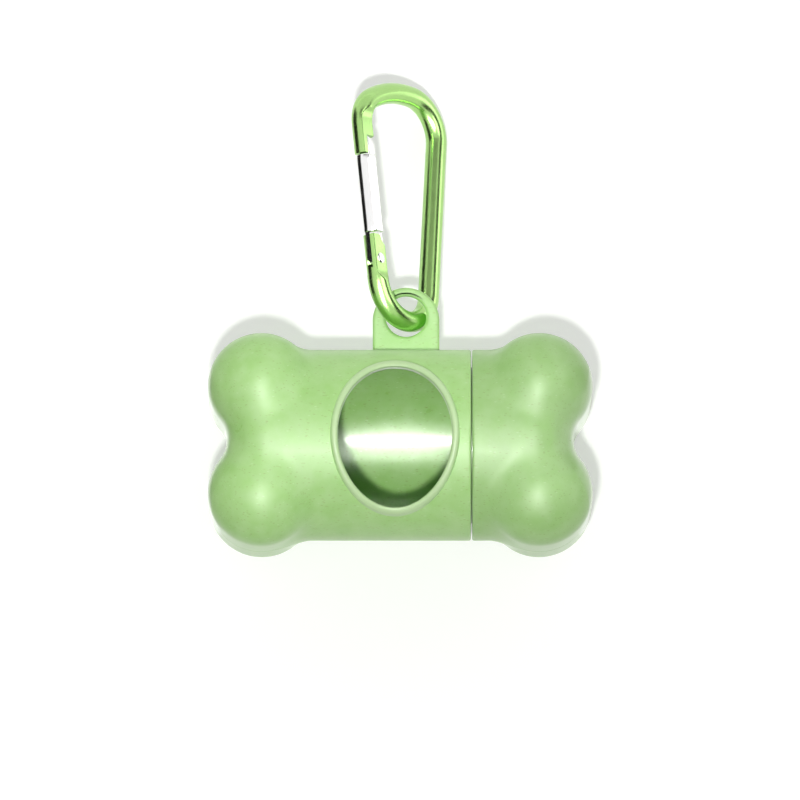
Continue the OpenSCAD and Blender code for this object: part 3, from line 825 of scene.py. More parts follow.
def patch_edge():
    """The patch's outer edge as a closed loop of (x, angle)."""
    angles = ANGLES[1:-1]
    edge = [(x, angles[0]) for x in patch_xs[:-1]] + [(PATCH_TO, a) for a in angles[:-1]]
    edge += [(x, angles[-1]) for x in patch_xs[:0:-1]] + [(PATCH_FROM, a) for a in angles[:0:-1]]
    return np.array(edge)


def level_rays(x, angle):
    """Starts and aims of rays that leave the axis at x and point straight out at an angle."""
    start = np.zeros(x.shape + (3,))
    start[..., 0] = x
    return start, np.stack([0 * angle, np.cos(angle), np.sin(angle)], axis=-1)


def patch_rays(radius, edge):
    """Rays from the window's edge (first ring) to the patch's edge (last ring)."""
    across = TUBE_R * (edge[:, 1] - math.pi / 2)
    turn = np.arctan2(-across / WINDOW_B, (edge[:, 0] - WINDOW_X) / WINDOW_A)
    oval_x = WINDOW_X + WINDOW_A * np.cos(turn)
    oval_angle = np.arccos(WINDOW_B * np.sin(turn) / radius)
    share = np.linspace(0, 1, PATCH_RINGS)[:, None] ** RING_CROWDING
    x = oval_x * (1 - share) + edge[:, 0] * share
    start, aim = level_rays(x, oval_angle * (1 - share) + edge[:, 1] * share)
    return start, aim, np.zeros(x.shape)


def ring_faces(rings, around):
    """Four-sided faces between closed rings of points."""
    ring = np.arange(rings - 1)[:, None] * around
    step = np.arange(around)[None, :]
    a, b = ring + step, ring + (step + 1) % around
    return np.stack([a, b, b + around, a + around], axis=-1).reshape(-1, 4).tolist()


patch_loop = patch_edge()
print("patch:", PATCH_RINGS, "rings of", len(patch_loop), "points")

# %% [markdown]
# ## Parts of the front shell
#
# Round the patch lie the lobed end, the mouth's rounded lip and two narrow strips along the
# parting line. They share their edge points with the patch, so the sheet closes by itself
# once doubled points count as one.

# %% Front shell with its window
def front_parts(radius):
    """The shell's grids of rays: patch, lobed end, mouth, and the two strips."""
    end_start, end_aim, end_drop = ray_grid(near_end, [0.0] * len(near_end))
    mirrored = (-1, 1, 1)
    lip = ray_grid([SEAM_X - along for along, _ in reversed(MOUTH_EDGE)],
                   [sink for _, sink in reversed(MOUTH_EDGE)])
    parts = [patch_rays(radius, patch_loop), (end_start * mirrored, end_aim * mirrored, end_drop),
             [grid[:len(MOUTH_EDGE)] for grid in lip]]
    for pair in ([0, 1], [-2, -1]):
        x, angle = np.meshgrid(patch_xs, ANGLES[pair], indexing="ij")
        sink = np.where(np.isin(angle, (ANGLES[0], ANGLES[-1])), GROOVE, 0.0)
        parts.append((*level_rays(x, angle), sink))
    return parts


def front_shell(name):
    """The body's front shell, from its outer and its inner rays."""
    skins = []
    for radius in (TUBE_R, BAY_R):
        starts, aims, drops = zip(*front_parts(radius))
        skins.append([np.concatenate([grid.reshape(-1, 3) for grid in starts]),
                      np.concatenate([grid.reshape(-1, 3) for grid in aims]),
                      np.concatenate([grid.ravel() for grid in drops])])
    outer, inner = skins
    inner[2] = inner[2] * 0
    faces = ring_faces(PATCH_RINGS, len(patch_loop))
    base = PATCH_RINGS * len(patch_loop)
    wide, strip = len(ANGLES), (len(patch_xs), 2)
    for rows, cols in ((len(near_end) + len(POLAR), wide), (len(MOUTH_EDGE), wide), strip, strip):
        faces += grid_faces(rows, cols, base)
        base += rows * cols
    sheet = ray_sheet(name, outer, inner, faces, (1, 1, 1))
    return outward(grown(name, sheet, skin_tree, straw_green))


body_front_mesh = front_shell("body_front")
print("front shell faces:", len(body_front_mesh.polygons))

# %% [markdown]
# ## Window rim
#
# A rounded bead stands round the window so that a bag slides out without catching. It has one
# section all the way round, so it is a sweep: the section runs along a flat oval, and then a
# rule lays every point on the tube. The bead's inner side also lines the window's cut edge.
# Where the tube falls away, the bead leans: its top stays nearer the level of the window's
# edge, as on a rim that was drawn straight up out of its mould.

# %% Rule that lays the rim on the tube
LEAN = 0.4
LEAN_FULL_AT = 0.4 * MM


def height_on_tube(tree, radius, squared):
    """How high a tube of the given radius is above a squared Y."""
    radius2 = add(tree, "ShaderNodeMath", [radius, radius], operation="MULTIPLY")
    left = add(tree, "ShaderNodeMath", [radius2, squared], operation="SUBTRACT")
    return add(tree, "ShaderNodeMath", [left], operation="SQRT")


def level_of_edge(tree, given, x, y):
    """How high the window's edge is, straight across from the point on the oval."""
    run = add(tree, "ShaderNodeMath", [x, given["Middle"]], operation="SUBTRACT")
    run = add(tree, "ShaderNodeMath", [run, given["Half width"]], operation="DIVIDE")
    climb = add(tree, "ShaderNodeMath", [y, given["Half height"]], operation="DIVIDE")
    share = add(tree, "ShaderNodeCombineXYZ", [run, climb])
    reach = add(tree, "ShaderNodeVectorMath", [share], out=1, operation="LENGTH")
    edge_y = add(tree, "ShaderNodeMath", [y, reach], operation="DIVIDE")
    squared = add(tree, "ShaderNodeMath", [edge_y, edge_y], operation="MULTIPLY")
    return height_on_tube(tree, given["Tube radius"], squared)


def rim_height(tree, given, here):
    """Height of a point of the flat sweep once it is laid on the tube."""
    squared = add(tree, "ShaderNodeMath", [here[1], here[1]], operation="MULTIPLY")
    skins = []
    for walls in (0.0, 1.0):
        less = add(tree, "ShaderNodeMath", [given["Wall"], walls], operation="MULTIPLY")
        radius = add(tree, "ShaderNodeMath", [given["Tube radius"], less], operation="SUBTRACT")
        skins.append(height_on_tube(tree, radius, squared))
    deep = add(tree, "ShaderNodeMath", [skins[0], skins[1]], operation="SUBTRACT")
    below = add(tree, "ShaderNodeMath", [here[2], 0.0], operation="MINIMUM")
    above = add(tree, "ShaderNodeMath", [here[2], 0.0], operation="MAXIMUM")
    share = add(tree, "ShaderNodeMath", [below, given["Wall"]], operation="DIVIDE")
    sunk = add(tree, "ShaderNodeMath", [share, deep, skins[0]], operation="MULTIPLY_ADD")
    stood = add(tree, "ShaderNodeMath", [sunk, above], operation="ADD")
    fall = add(tree, "ShaderNodeMath", [level_of_edge(tree, given, here[0], here[1]), skins[0]],
               operation="SUBTRACT")
    leaning = add(tree, "ShaderNodeMapRange", {"Value": above, "From Max": LEAN_FULL_AT,
                                               "To Max": given["Lean"]})
    return add(tree, "ShaderNodeMath", [fall, leaning, stood], operation="MULTIPLY_ADD")


print("the rim leans by", LEAN, "of the tube's fall")

# %% [markdown]
# ## Sweep of the rim
#
# The sweep itself is short: an oval of 240 points, a section that stands upright on it, and
# the rule above for the height of each point.

# %% Rim swept round the window
def rim_tree():
    """Sweeps a section round the window's oval and lays it on the tube."""
    tree, given = geometry_tree("window rim", {
        "Half width": WINDOW_A * MM, "Half height": WINDOW_B * MM, "Middle": WINDOW_X * MM,
        "Tube radius": TUBE_R * MM, "Wall": WALL * MM, "Lean": LEAN, "Points": 240})
    ring = add(tree, "GeometryNodeCurvePrimitiveCircle", {"Resolution": given["Points"], "Radius": 1.0})
    size = add(tree, "ShaderNodeCombineXYZ", [given["Half width"], given["Half height"], 1.0])
    place = add(tree, "ShaderNodeCombineXYZ", [given["Middle"]])
    oval = add(tree, "GeometryNodeTransform", {"Geometry": ring, "Translation": place, "Scale": size})
    level = add(tree, "GeometryNodeSetCurveNormal", {"Curve": oval}, mode="Z_UP")
    section = add(tree, "GeometryNodeMeshToCurve", {"Mesh": given["Geometry"]})
    flat = add(tree, "GeometryNodeCurveToMesh", {"Curve": level, "Profile Curve": section})
    position = add(tree, "GeometryNodeInputPosition")
    here = add(tree, "ShaderNodeSeparateXYZ", [position], out=None).outputs
    spot = add(tree, "ShaderNodeCombineXYZ", [here[0], here[1], rim_height(tree, given, here)])
    laid = add(tree, "GeometryNodeSetPosition", {"Geometry": flat, "Position": spot})
    close_tree(tree, laid, given)
    return tree


def outline_mesh(name, points):
    """A sweep's section: a closed loop of edges in mm. On a level curve its Y points down."""
    edges = [(k, (k + 1) % len(points)) for k in range(len(points))]
    return mesh_of(name, [(x, -y, 0) for x, y in points], [], edges)


# the section's X runs outwards from the window's edge, and its Y up from the tube's skin
BEAD_Y = 0.36
BEAD_HALF_WIDE = 0.73
BEAD_HALF_HIGH = 0.74
LINING = -1.93
bead = [(BEAD_X + BEAD_HALF_WIDE * math.cos(a), BEAD_Y + BEAD_HALF_HIGH * math.sin(a))
        for a in np.linspace(math.pi, 0, 15)]
rim_foot = [(1.47, 0.06), (1.62, -0.06), (1.62, -0.4), (BEAD_X, -0.6)]
rim_section = [(-0.03, LINING)] + bead + rim_foot + [(0.5, LINING)]
rim_mesh = grown("window_rim", outline_mesh("rim section", rim_section), rim_tree(), straw_green)
rim_mesh = outward(rim_mesh, 50)
print("rim spans", reach_of(rim_mesh))

# %% [markdown]
# ## Tab
#
# The tab is moulded in two halves, one with each shell. A boolean hole in a rounded plate
# shades badly, so each half is a loft of rings instead: up the outside, over the rounded edge,
# across the face, and down the rounded edge of the hole.

# %% Half of the tab
TAB_X = 1.2
TAB_HALF_WIDTH = 6.95
TAB_ARC_Y = TUBE_R + 6.2
TAB_FOOT_Y = 18.6
TAB_HALF = 1.1
TAB_ROUND = 0.6
TAB_FACE = 0.8
HOLE_Y = TUBE_R + 7.1
HOLE_R = 4.25
HOLE_ROUND = 0.7
NEVER = 1e9  # a distance that no edge lies at


def tab_reach(direction, inset):
    """How far the tab's outline is from the hole's middle, with the outline set in."""
    c, s = direction
    side = (TAB_HALF_WIDTH - inset) / max(abs(c), 1 / NEVER)
    foot = (HOLE_Y - TAB_FOOT_Y - inset) / max(-s, 1 / NEVER) if s < 0 else NEVER
    rise = HOLE_Y - TAB_ARC_Y
    radius = TAB_HALF_WIDTH - inset
    top = -rise * s + math.sqrt(max((rise * s) ** 2 - rise ** 2 + radius ** 2, 0))
    return min(side, foot, top) if rise + top * s > 0 else min(side, foot)


def tab_layers():
    """Rings of the loft as (radius in the hole or None, inset of the outline, height)."""
    bend = np.linspace(0, math.pi / 2, 7)
    outside = [(None, TAB_ROUND * (1 - math.cos(a)), TAB_HALF - TAB_ROUND + TAB_ROUND * math.sin(a))
               for a in bend]
    hole = [(HOLE_R + HOLE_ROUND * (1 - math.sin(a)), 0, TAB_HALF - HOLE_ROUND + HOLE_ROUND * math.cos(a))
            for a in bend]
    face = (None, TAB_ROUND + TAB_FACE, TAB_HALF)
    return [(None, 0.0, 0.0)] + outside + [face] + hole + [(HOLE_R, 0, 0.0)]


def tab_half(name, flip):
    """One half of the tab. flip is 1 for the front half and -1 for the rear half."""
    count = 180
    layers = tab_layers()
    points = []
    for radius, inset, z in layers:
        for a in np.linspace(0, 2 * math.pi, count, endpoint=False):
            way = (math.cos(a), math.sin(a))
            far = radius if radius else tab_reach(way, inset)
            points.append((TAB_X + far * way[0], HOLE_Y + far * way[1], z * flip))
    faces = []
    for k in range(len(layers)):
        here, above = k * count, (k + 1) % len(layers) * count
        faces += [(here + j, here + (j + 1) % count, above + (j + 1) % count, above + j)
                  for j in range(count)]
    return outward(mesh_of(name, points, faces), 50)


tab_front_mesh = tab_half("tab_front", 1)
tab_rear_mesh = tab_half("tab_rear", -1)
print("tab top at", reach_of(tab_front_mesh)[1][1], "mm")

# %% [markdown]
# ## Turned pieces
#
# The neck, its liner and the disc behind it are round about the bone's axis. Each is a closed
# profile turned about X. The same helper turns the ribs that stop the roll, half way round.

# %% Turning a profile about X
TURN_STEPS = 144


def turned(name, profile, steps=TURN_STEPS, half=0):
    """A closed loop of (x, radius) in mm, turned about X. half=1 or -1 turns only half way."""
    full = half == 0
    count = steps if full else steps // 2 + 1
    turns = np.linspace(0, 2 * math.pi if full else math.pi * half, count, endpoint=not full)
    points = [(x, r * math.cos(a), r * math.sin(a)) for a in turns for x, r in profile]
    n = len(profile)
    faces = [(i * n + j, i * n + (j + 1) % n, ((i + 1) % count) * n + (j + 1) % n, ((i + 1) % count) * n + j)
             for i in range(count if full else count - 1) for j in range(n)]
    if not full:
        faces += [tuple(range(n)), tuple(range((count - 1) * n, count * n))]
    return outward(mesh_of(name, points, faces))


print("steps of a turned piece:", TURN_STEPS)

# %% [markdown]
# ## Neck, liner and disc
#
# The neck is bonded into the body's mouth and the liner into the cap. Their sizes count
# inwards from the bay's wall, so the thread fits whatever the tube's size is. The disc takes
# the roll's push and keeps the cap's turning off the roll.

# %% Neck, liner and disc
ROOT_R = BAY_R - 1.75
NECK_IN = ROOT_R - 1.05
RIDGE_HIGH = 0.8
CREST_R = ROOT_R + RIDGE_HIGH
LINER_IN = CREST_R + 0.2
NECK_END = SEAM_X + 9.6
LINER_FROM = SEAM_X + SEAM_GAP + 0.25
THREAD_TO = NECK_END + 0.6
BORE_END = END_X - 9.2
LINER_TO = END_X - 6.8
BONDED_R = BAY_R - 0.01
neck_mesh = turned("neck", [
    (SEAM_X - 3, NECK_IN + 0.2), (SEAM_X - 3, BONDED_R), (SEAM_X - 0.05, BONDED_R), (SEAM_X - 0.05, ROOT_R),
    (NECK_END - 0.5, ROOT_R), (NECK_END - 0.15, ROOT_R - 0.15), (NECK_END, ROOT_R - 0.5),
    (NECK_END, NECK_IN + 0.15), (NECK_END - 0.15, NECK_IN), (SEAM_X - 2.8, NECK_IN)])
liner_mesh = turned("liner", [
    (LINER_FROM, LINER_IN + 0.2), (LINER_FROM, BONDED_R), (BORE_END, BONDED_R), (BORE_END, BAY_R - 0.6),
    (LINER_TO, BAY_R - 0.6), (LINER_TO, NECK_IN), (THREAD_TO, NECK_IN), (THREAD_TO, LINER_IN),
    (LINER_FROM + 0.2, LINER_IN)])
DISC_X = LINER_TO + 0.2
DISC_T = 1.2
DISC_R = BAY_R - 2
DISC_EDGE = [(0.0, 0.3), (0.1, 0.1), (0.3, 0.0)]
disc_mesh = turned("disc", [(DISC_X, 0.01)]
                   + [(DISC_X + along, DISC_R - inset) for along, inset in DISC_EDGE]
                   + [(DISC_X + DISC_T - along, DISC_R - inset) for along, inset in reversed(DISC_EDGE)]
                   + [(DISC_X + DISC_T, 0.01)])
print("thread root", round(ROOT_R, 2), "mm, disc", round(DISC_R, 2), "mm in radius")

# %% [markdown]
# ## Stop ribs
#
# A thin rib runs round each end of the bay and stops the roll and the disc. Every shell
# carries its own half of a rib, so the same profile is turned half way round, up or down.

# %% Ribs that stop the roll and the disc
RIB_T = 1.1
RIB_R = BAY_R - 3.8
RIB_ROOT_R = BAY_R - 0.7
STOP_X = END_X - 5
ribs = {}
for part, low in (("body", -STOP_X - RIB_T), ("cap", DISC_X + DISC_T + 0.2)):
    rib = [(low, RIB_R + 0.2), (low + 0.2, RIB_R), (low + 0.9, RIB_R), (low + RIB_T, RIB_R + 0.2),
           (low + RIB_T, RIB_ROOT_R), (low, RIB_ROOT_R)]
    for half, side in ((1, "front"), (-1, "rear")):
        ribs[part, side] = turned("rib", rib, half=half)
print("half ribs:", len(ribs))

# %% [markdown]
# ## Screw threads
#
# Two ridges climb round the neck, half a turn apart, and two matching ridges run inside the
# cap, so half a turn starts them and two turns free the cap. A ridge follows a path and
# repeats, so Geometry Nodes sweeps one section along a spiral and makes the other start by
# turning a copy of it.

# %% Ridges swept along a spiral
LEAD = 6.0
STARTS = 2


def thread_tree():
    """Sweeps a section along a spiral about X, tapered at both ends, once for each start."""
    tree, given = geometry_tree("screw ridges", {
        "Radius": ROOT_R * MM, "Rotations": 1.0, "Length": LEAD * MM, "From": SEAM_X * MM,
        "Start turn": 0.0, "Taper": 6.0, "Starts": STARTS})
    path = add(tree, "GeometryNodeCurveSpiral", {
        "Resolution": 64, "Rotations": given["Rotations"], "Start Radius": given["Radius"],
        "End Radius": given["Radius"], "Height": given["Length"], "Reverse": True})
    level = add(tree, "GeometryNodeSetCurveNormal", {"Curve": path}, mode="Z_UP")
    section = add(tree, "GeometryNodeMeshToCurve", {"Mesh": given["Geometry"]})
    done = add(tree, "GeometryNodeSplineParameter")
    left = add(tree, "ShaderNodeMath", [1.0, done], operation="SUBTRACT")
    near = add(tree, "ShaderNodeMath", [done, left], operation="MINIMUM")
    ramp = add(tree, "ShaderNodeMath", [near, given["Taper"], 0.2], operation="MULTIPLY_ADD")
    thin = add(tree, "ShaderNodeMath", [ramp, 1.0], operation="MINIMUM")
    ridge = add(tree, "GeometryNodeCurveToMesh", {"Curve": level, "Profile Curve": section, "Scale": thin,
                                                  "Fill Caps": True})
    points = add(tree, "GeometryNodeMeshLine", {"Count": given["Starts"], "Offset": (0, 0, 0)})
    index = add(tree, "GeometryNodeInputIndex")
    share = add(tree, "ShaderNodeMath", [index, given["Starts"]], operation="DIVIDE")
    turn = add(tree, "ShaderNodeMath", [share, 2 * math.pi, given["Start turn"]], operation="MULTIPLY_ADD")
    spin = add(tree, "ShaderNodeCombineXYZ", [0.0, 0.0, turn])
    copies = add(tree, "GeometryNodeInstanceOnPoints", {"Points": points, "Instance": ridge,
                                                        "Rotation": spin})
    real = add(tree, "GeometryNodeRealizeInstances", {"Geometry": copies})
    lift = add(tree, "ShaderNodeCombineXYZ", [given["From"]])
    laid = add(tree, "GeometryNodeTransform", {"Geometry": real, "Translation": lift,
                                               "Rotation": (0, math.pi / 2, 0)})
    close_tree(tree, laid, given)
    return tree


threads = thread_tree()
print("thread tree:", len(threads.nodes), "nodes,", STARTS, "starts")

# %% [markdown]
# ## Ridges of the neck and the liner
#
# The same tree makes both sets. The neck's ridges stand outwards and the liner's inwards, and
# the liner's start is turned so that its ridges lie half way between the neck's.

# %% Ridges of the neck and the liner
RIDGE_SUNK = 0.3
ROOT_HALF = 0.75
CREST_HALF = 0.36


def ridges(name, radius, outwards, x_from, x_to, start_turn):
    """Two ridges between two places on the axis. outwards is 1, or -1 for an inner thread."""
    root, crest = -RIDGE_SUNK * outwards, RIDGE_HIGH * outwards
    section = [(root, -ROOT_HALF), (crest, -CREST_HALF), (crest, CREST_HALF), (root, ROOT_HALF)]
    mesh = grown(name, outline_mesh(name, section), threads, plain_green, **{
        "Radius": radius * MM, "Rotations": (x_to - x_from) / LEAD, "Length": (x_to - x_from) * MM,
        "From": x_from * MM, "Start turn": start_turn + math.pi / 2})
    return outward(mesh)


neck_from = SEAM_X + 2
liner_from = LINER_FROM + 1.2
neck_ridges = ridges("neck_ridges", ROOT_R, 1, neck_from, NECK_END - 1.5, 0.0)
liner_ridges = ridges("liner_ridges", LINER_IN, -1, liner_from, THREAD_TO - 1.2,
                      math.pi / 2 + (liner_from - neck_from) / LEAD * 2 * math.pi)
for mesh in (neck_ridges, liner_ridges):
    radii = [math.hypot(v.co.y, v.co.z) / MM for v in mesh.vertices]
    along = [v.co.x / MM for v in mesh.vertices]
    print(mesh.name, "radius", round(min(radii), 2), "to", round(max(radii), 2),
          "x", round(min(along), 2), "to", round(max(along), 2))

# %% [markdown]
# ## The clip's own frame
#
# The clip is drawn flat, its straight back on the Y axis and its gate leg to the left, and is
# then turned into its place in the tab's hole. Drawing it flat keeps the arithmetic simple,
# and one matrix does the placing for every piece of it.

# %% Outline of the clip and its place
ROD_R = 2.2
SPINE = 35.4
FOOT_R = 8.15
CROWN_R = 7.8
TOP_R = 24.0
SLANT, CROWN_TURN, NOSE_TURN = (math.radians(v) for v in (12.9, 96.5, 129.5))
CLIP_YAW, CLIP_LEAN, CLIP_TILT = (math.radians(v) for v in (49.5, 14.8, 4.1))
CROSSING = math.radians(-70)
GATE_LENGTH = 26.6
PIVOT_UP = 4.1
HANGS_ASIDE = 0.85
HANGS_LOW = 1.05
foot = Vector((-FOOT_R, 0))
crown = Vector((-CROWN_R, SPINE))
leg_out = Vector((-math.cos(SLANT), -math.sin(SLANT)))
leg_up = Vector((-math.sin(SLANT), math.cos(SLANT)))
pivot = foot + FOOT_R * leg_out + PIVOT_UP * leg_up
top = crown + (CROWN_R - TOP_R) * Vector((math.cos(CROWN_TURN), math.sin(CROWN_TURN)))
nose_way = Vector((math.cos(NOSE_TURN), math.sin(NOSE_TURN)))
leg_line = foot.dot(leg_out) + FOOT_R
NOSE_R = (top.dot(leg_out) + TOP_R * nose_way.dot(leg_out) - leg_line) / (nose_way.dot(leg_out) - 1)
nose = top + (TOP_R - NOSE_R) * nose_way
leg_run = (nose + NOSE_R * leg_out - pivot).length
crossing = foot + FOOT_R * Vector((math.cos(CROSSING), math.sin(CROSSING)))
CLIP_AT = Vector((TAB_X + HANGS_ASIDE, HOLE_Y - HANGS_LOW, 0))
turned_in_hole = (Matrix.Rotation(-CLIP_LEAN, 4, "X") @ Matrix.Rotation(CLIP_YAW, 4, "Y")
                  @ Matrix.Rotation(-CLIP_TILT, 4, "Z"))
to_place = (Matrix.Translation(CLIP_AT * MM) @ turned_in_hole
            @ Matrix.Translation(Vector((-crossing.x, -crossing.y, 0)) * MM))
in_flat = Matrix.Translation(Vector((pivot.x, pivot.y, 0)) * MM) @ Matrix.Rotation(SLANT, 4, "Z")
to_leg = to_place @ in_flat
print("pivot at", [round(v / MM, 3) for v in to_leg.translation], "leg run", round(leg_run, 2), "mm")

# %% [markdown]
# ## Path of the bent rod
#
# The clip's body is one round rod, bent into a loop. Its middle line is a chain of short
# edges: up from the nose's tip, over the top in three arcs, down the straight back, round the
# foot, and up into the fork that holds the gate.

# %% Middle line of the rod
FLAT = 1.4
CHEEK_LOW = 2.4
NOSE_UP = GATE_LENGTH - 3.7
NOSE_FLAT = 7.8
FORK_TOP = 5.2
BACK_STEP = 1.2
LEG_STEP = 0.3


def arc(centre, radius, start, stop, step=2.5):
    """Points of an arc, about one for every step in degrees."""
    count = max(2, int(abs(math.degrees(stop - start)) / step))
    return [(centre.x + radius * math.cos(a), centre.y + radius * math.sin(a))
            for a in np.linspace(start, stop, count + 1)]


def leg_points(low, high, step):
    """Points up the gate's leg, measured from the pivot."""
    return [tuple(pivot + leg_up * y) for y in np.arange(low, high + 1e-6, step)]


def rod_path():
    """The rod's middle line as a chain of edges, from the nose to the fork."""
    points = leg_points(NOSE_UP, leg_run - 0.1, LEG_STEP)
    points += arc(nose, NOSE_R, math.pi + SLANT, NOSE_TURN)
    points += arc(top, TOP_R, NOSE_TURN, CROWN_TURN, 1.5)[1:]
    points += arc(crown, CROWN_R, CROWN_TURN, 0)[1:]
    points += [(0.0, y) for y in np.arange(SPINE - BACK_STEP, 0.5, -BACK_STEP)]
    points += arc(foot, FOOT_R, 0, -math.pi + SLANT)
    points += leg_points(-PIVOT_UP + 0.25, FORK_TOP, 0.25)
    edges = [(k, k + 1) for k in range(len(points) - 1)]
    return mesh_of("rod path", [(x, y, 0) for x, y in points], [], edges)


path_mesh = rod_path()
print("points on the rod's middle line:", len(path_mesh.vertices))

# %% [markdown]
# ## Rod, pressed flat at both ends
#
# The rod follows a path, so Geometry Nodes sweeps a circle along it. The press is a rule as
# well: near the two ends no point may stand further out than the press leaves it, and the
# limit opens in an arc where the flat runs out.

# %% Rod swept along its bends and pressed flat
PRESS_REACH = 4 * MM


def pressed_height(tree, given, here, split):
    """The height that the press leaves a point, and the point's distance beside the leg."""
    from_pivot = add(tree, "ShaderNodeVectorMath", [here, (pivot.x * MM, pivot.y * MM, 0)],
                     operation="SUBTRACT")
    up = add(tree, "ShaderNodeVectorMath", [from_pivot, (leg_up.x, leg_up.y, 0)], out=1,
             operation="DOT_PRODUCT")
    side = add(tree, "ShaderNodeVectorMath", [from_pivot, (leg_up.y, -leg_up.x, 0)], out=1,
               operation="DOT_PRODUCT")
    under = add(tree, "ShaderNodeMath", [given["Fork low"], up], operation="SUBTRACT")
    past = add(tree, "ShaderNodeMath", [up, given["Nose high"]], operation="SUBTRACT")
    either = add(tree, "ShaderNodeMath", [under, past], operation="MAXIMUM")
    beyond = add(tree, "ShaderNodeMath", [either, 0.0], operation="MAXIMUM")
    squared = add(tree, "ShaderNodeMath", [beyond, beyond], operation="MULTIPLY")
    runs_out = add(tree, "ShaderNodeMath", [squared, given["Press radius"]], operation="DIVIDE")
    limit = add(tree, "ShaderNodeMath", [runs_out, 0.5, given["Flat"]], operation="MULTIPLY_ADD")
    lower = add(tree, "ShaderNodeMath", [limit, -1.0], operation="MULTIPLY")
    topped = add(tree, "ShaderNodeMath", [split[2], limit], operation="MINIMUM")
    pressed = add(tree, "ShaderNodeMath", [topped, lower], operation="MAXIMUM")
    return pressed, add(tree, "ShaderNodeMath", [side], operation="ABSOLUTE")


def rod_tree():
    """Sweeps a circle along the rod's middle line and presses both ends flat."""
    tree, given = geometry_tree("pressed rod", {
        "Rod radius": ROD_R * MM, "Flat": FLAT * MM, "Fork low": -CHEEK_LOW * MM,
        "Nose high": (NOSE_UP + NOSE_FLAT) * MM, "Press radius": 3.0 * MM})
    path = add(tree, "GeometryNodeMeshToCurve", {"Mesh": given["Geometry"]})
    level = add(tree, "GeometryNodeSetCurveNormal", {"Curve": path}, mode="Z_UP")
    section = add(tree, "GeometryNodeCurvePrimitiveCircle", {"Resolution": 56, "Radius": given["Rod radius"]})
    rod = add(tree, "GeometryNodeCurveToMesh", {"Curve": level, "Profile Curve": section, "Fill Caps": True})
    here = add(tree, "GeometryNodeInputPosition")
    split = add(tree, "ShaderNodeSeparateXYZ", [here], out=None).outputs
    pressed, beside = pressed_height(tree, given, here, split)
    spot = add(tree, "ShaderNodeCombineXYZ", [split[0], split[1], pressed])
    in_press = add(tree, "ShaderNodeMath", [beside, PRESS_REACH], operation="LESS_THAN")
    flattened = add(tree, "GeometryNodeSetPosition", {"Geometry": rod, "Selection": in_press,
                                                      "Position": spot})
    close_tree(tree, flattened, given)
    return tree


rod_mesh = grown("rod", path_mesh, rod_tree(), green_anodised)
print("rod:", len(rod_mesh.polygons), "faces")

# %% [markdown]
# ## Cutters
#
# A cutter is an outline with a thickness. A boolean takes cutters out of a mesh one after
# another, as a mill does, and leaves a plain mesh.

# %% Helpers for real cuts
def prism(name, outline, low, high, matrix, soft=0.0):
    """An outline in the leg's own axes, given a thickness and, if soft, rounded edges."""
    bm = bmesh.new()
    base = bm.faces.new([bm.verts.new((x * MM, y * MM, low * MM)) for x, y in outline])
    lifted = bmesh.ops.extrude_face_region(bm, geom=[base])["geom"]
    bmesh.ops.translate(bm, verts=[v for v in lifted if isinstance(v, bmesh.types.BMVert)],
                        vec=(0, 0, (high - low) * MM))
    bmesh.ops.recalc_face_normals(bm, faces=bm.faces)
    if soft:
        rims = [e for e in bm.edges if abs(e.verts[0].co.z - e.verts[1].co.z) < 1e-7]
        bmesh.ops.bevel(bm, geom=rims, offset=soft * MM, segments=3, profile=0.5, affect="EDGES")
    mesh = bpy.data.meshes.new(name)
    bm.to_mesh(mesh)
    bm.free()
    mesh.transform(matrix)
    return mesh


def arc_outline(radius, start, stop, count):
    """Points of an arc round the leg's pivot."""
    return [(radius * math.cos(a), radius * math.sin(a)) for a in np.linspace(start, stop, count)]


def round_outline(x, y, radius, count=48):
    """Points of a whole circle round (x, y)."""
    return [(x + radius * math.cos(a), y + radius * math.sin(a))
            for a in np.linspace(0, 2 * math.pi, count, endpoint=False)]


def cut(mesh, cutters):
    """Takes the cutters out of the mesh, one after another."""
    target = placed("cut target", mesh)
    tools = []
    for k, cutter in enumerate(cutters):
        tool = placed("cutter", cutter)
        step = target.modifiers.new("cut %d" % k, "BOOLEAN")
        step.operation = "DIFFERENCE"
        step.solver = "EXACT"
        step.object = tool
        tools.append(tool)
    result = bpy.data.meshes.new_from_object(target.evaluated_get(bpy.context.evaluated_depsgraph_get()))
    for obj in tools + [target]:
        bpy.data.objects.remove(obj)
    return result


print("cutter helpers ready")

# %% [markdown]
# ## Cuts in the rod's two ends
#
# The lower end is a fork: a slot for the gate's tongue, a hollow in its inner corner so the
# gate can swing, a hole for the rivet and a bore for the spring. The nose has a seat that the
# gate's tip shuts against. These are real cutter passes, so here booleans are the natural tool.

# %% Slot, hollow, rivet hole, spring bore and seat
SLOT = 0.65
SLOT_FLOOR = 3.0
SLOT_TOP = 7.6
FAR = 8.8
SEAT_X = -0.6
SEAT_R = GATE_LENGTH + 0.2
SPRING_LOW = -6.3
BORE_R = 0.85
BORE_TOP = -1.3
HOLLOW_X, HOLLOW_Y, HOLLOW_R = 3.1, 5.0, 2.5
RIVET_HOLE_R = 0.9
slot_outline = arc_outline(SLOT_FLOOR, math.pi, 2 * math.pi, 25)
slot_outline += [(FAR, 0), (FAR, SLOT_TOP), (-FAR, SLOT_TOP), (-FAR, 0)]
seat_outline = [(SEAT_X, NOSE_UP - 3), (FAR, NOSE_UP - 3)]
seat_outline += arc_outline(SEAT_R, math.acos(FAR / SEAT_R), math.acos(SEAT_X / SEAT_R), 16)
bore = turned("bore", [(SPRING_LOW, 0.001), (SPRING_LOW, BORE_R), (BORE_TOP, BORE_R), (BORE_TOP, 0.001)],
              steps=32)
bore.transform(in_flat @ Matrix.Rotation(math.pi / 2, 4, "Z"))
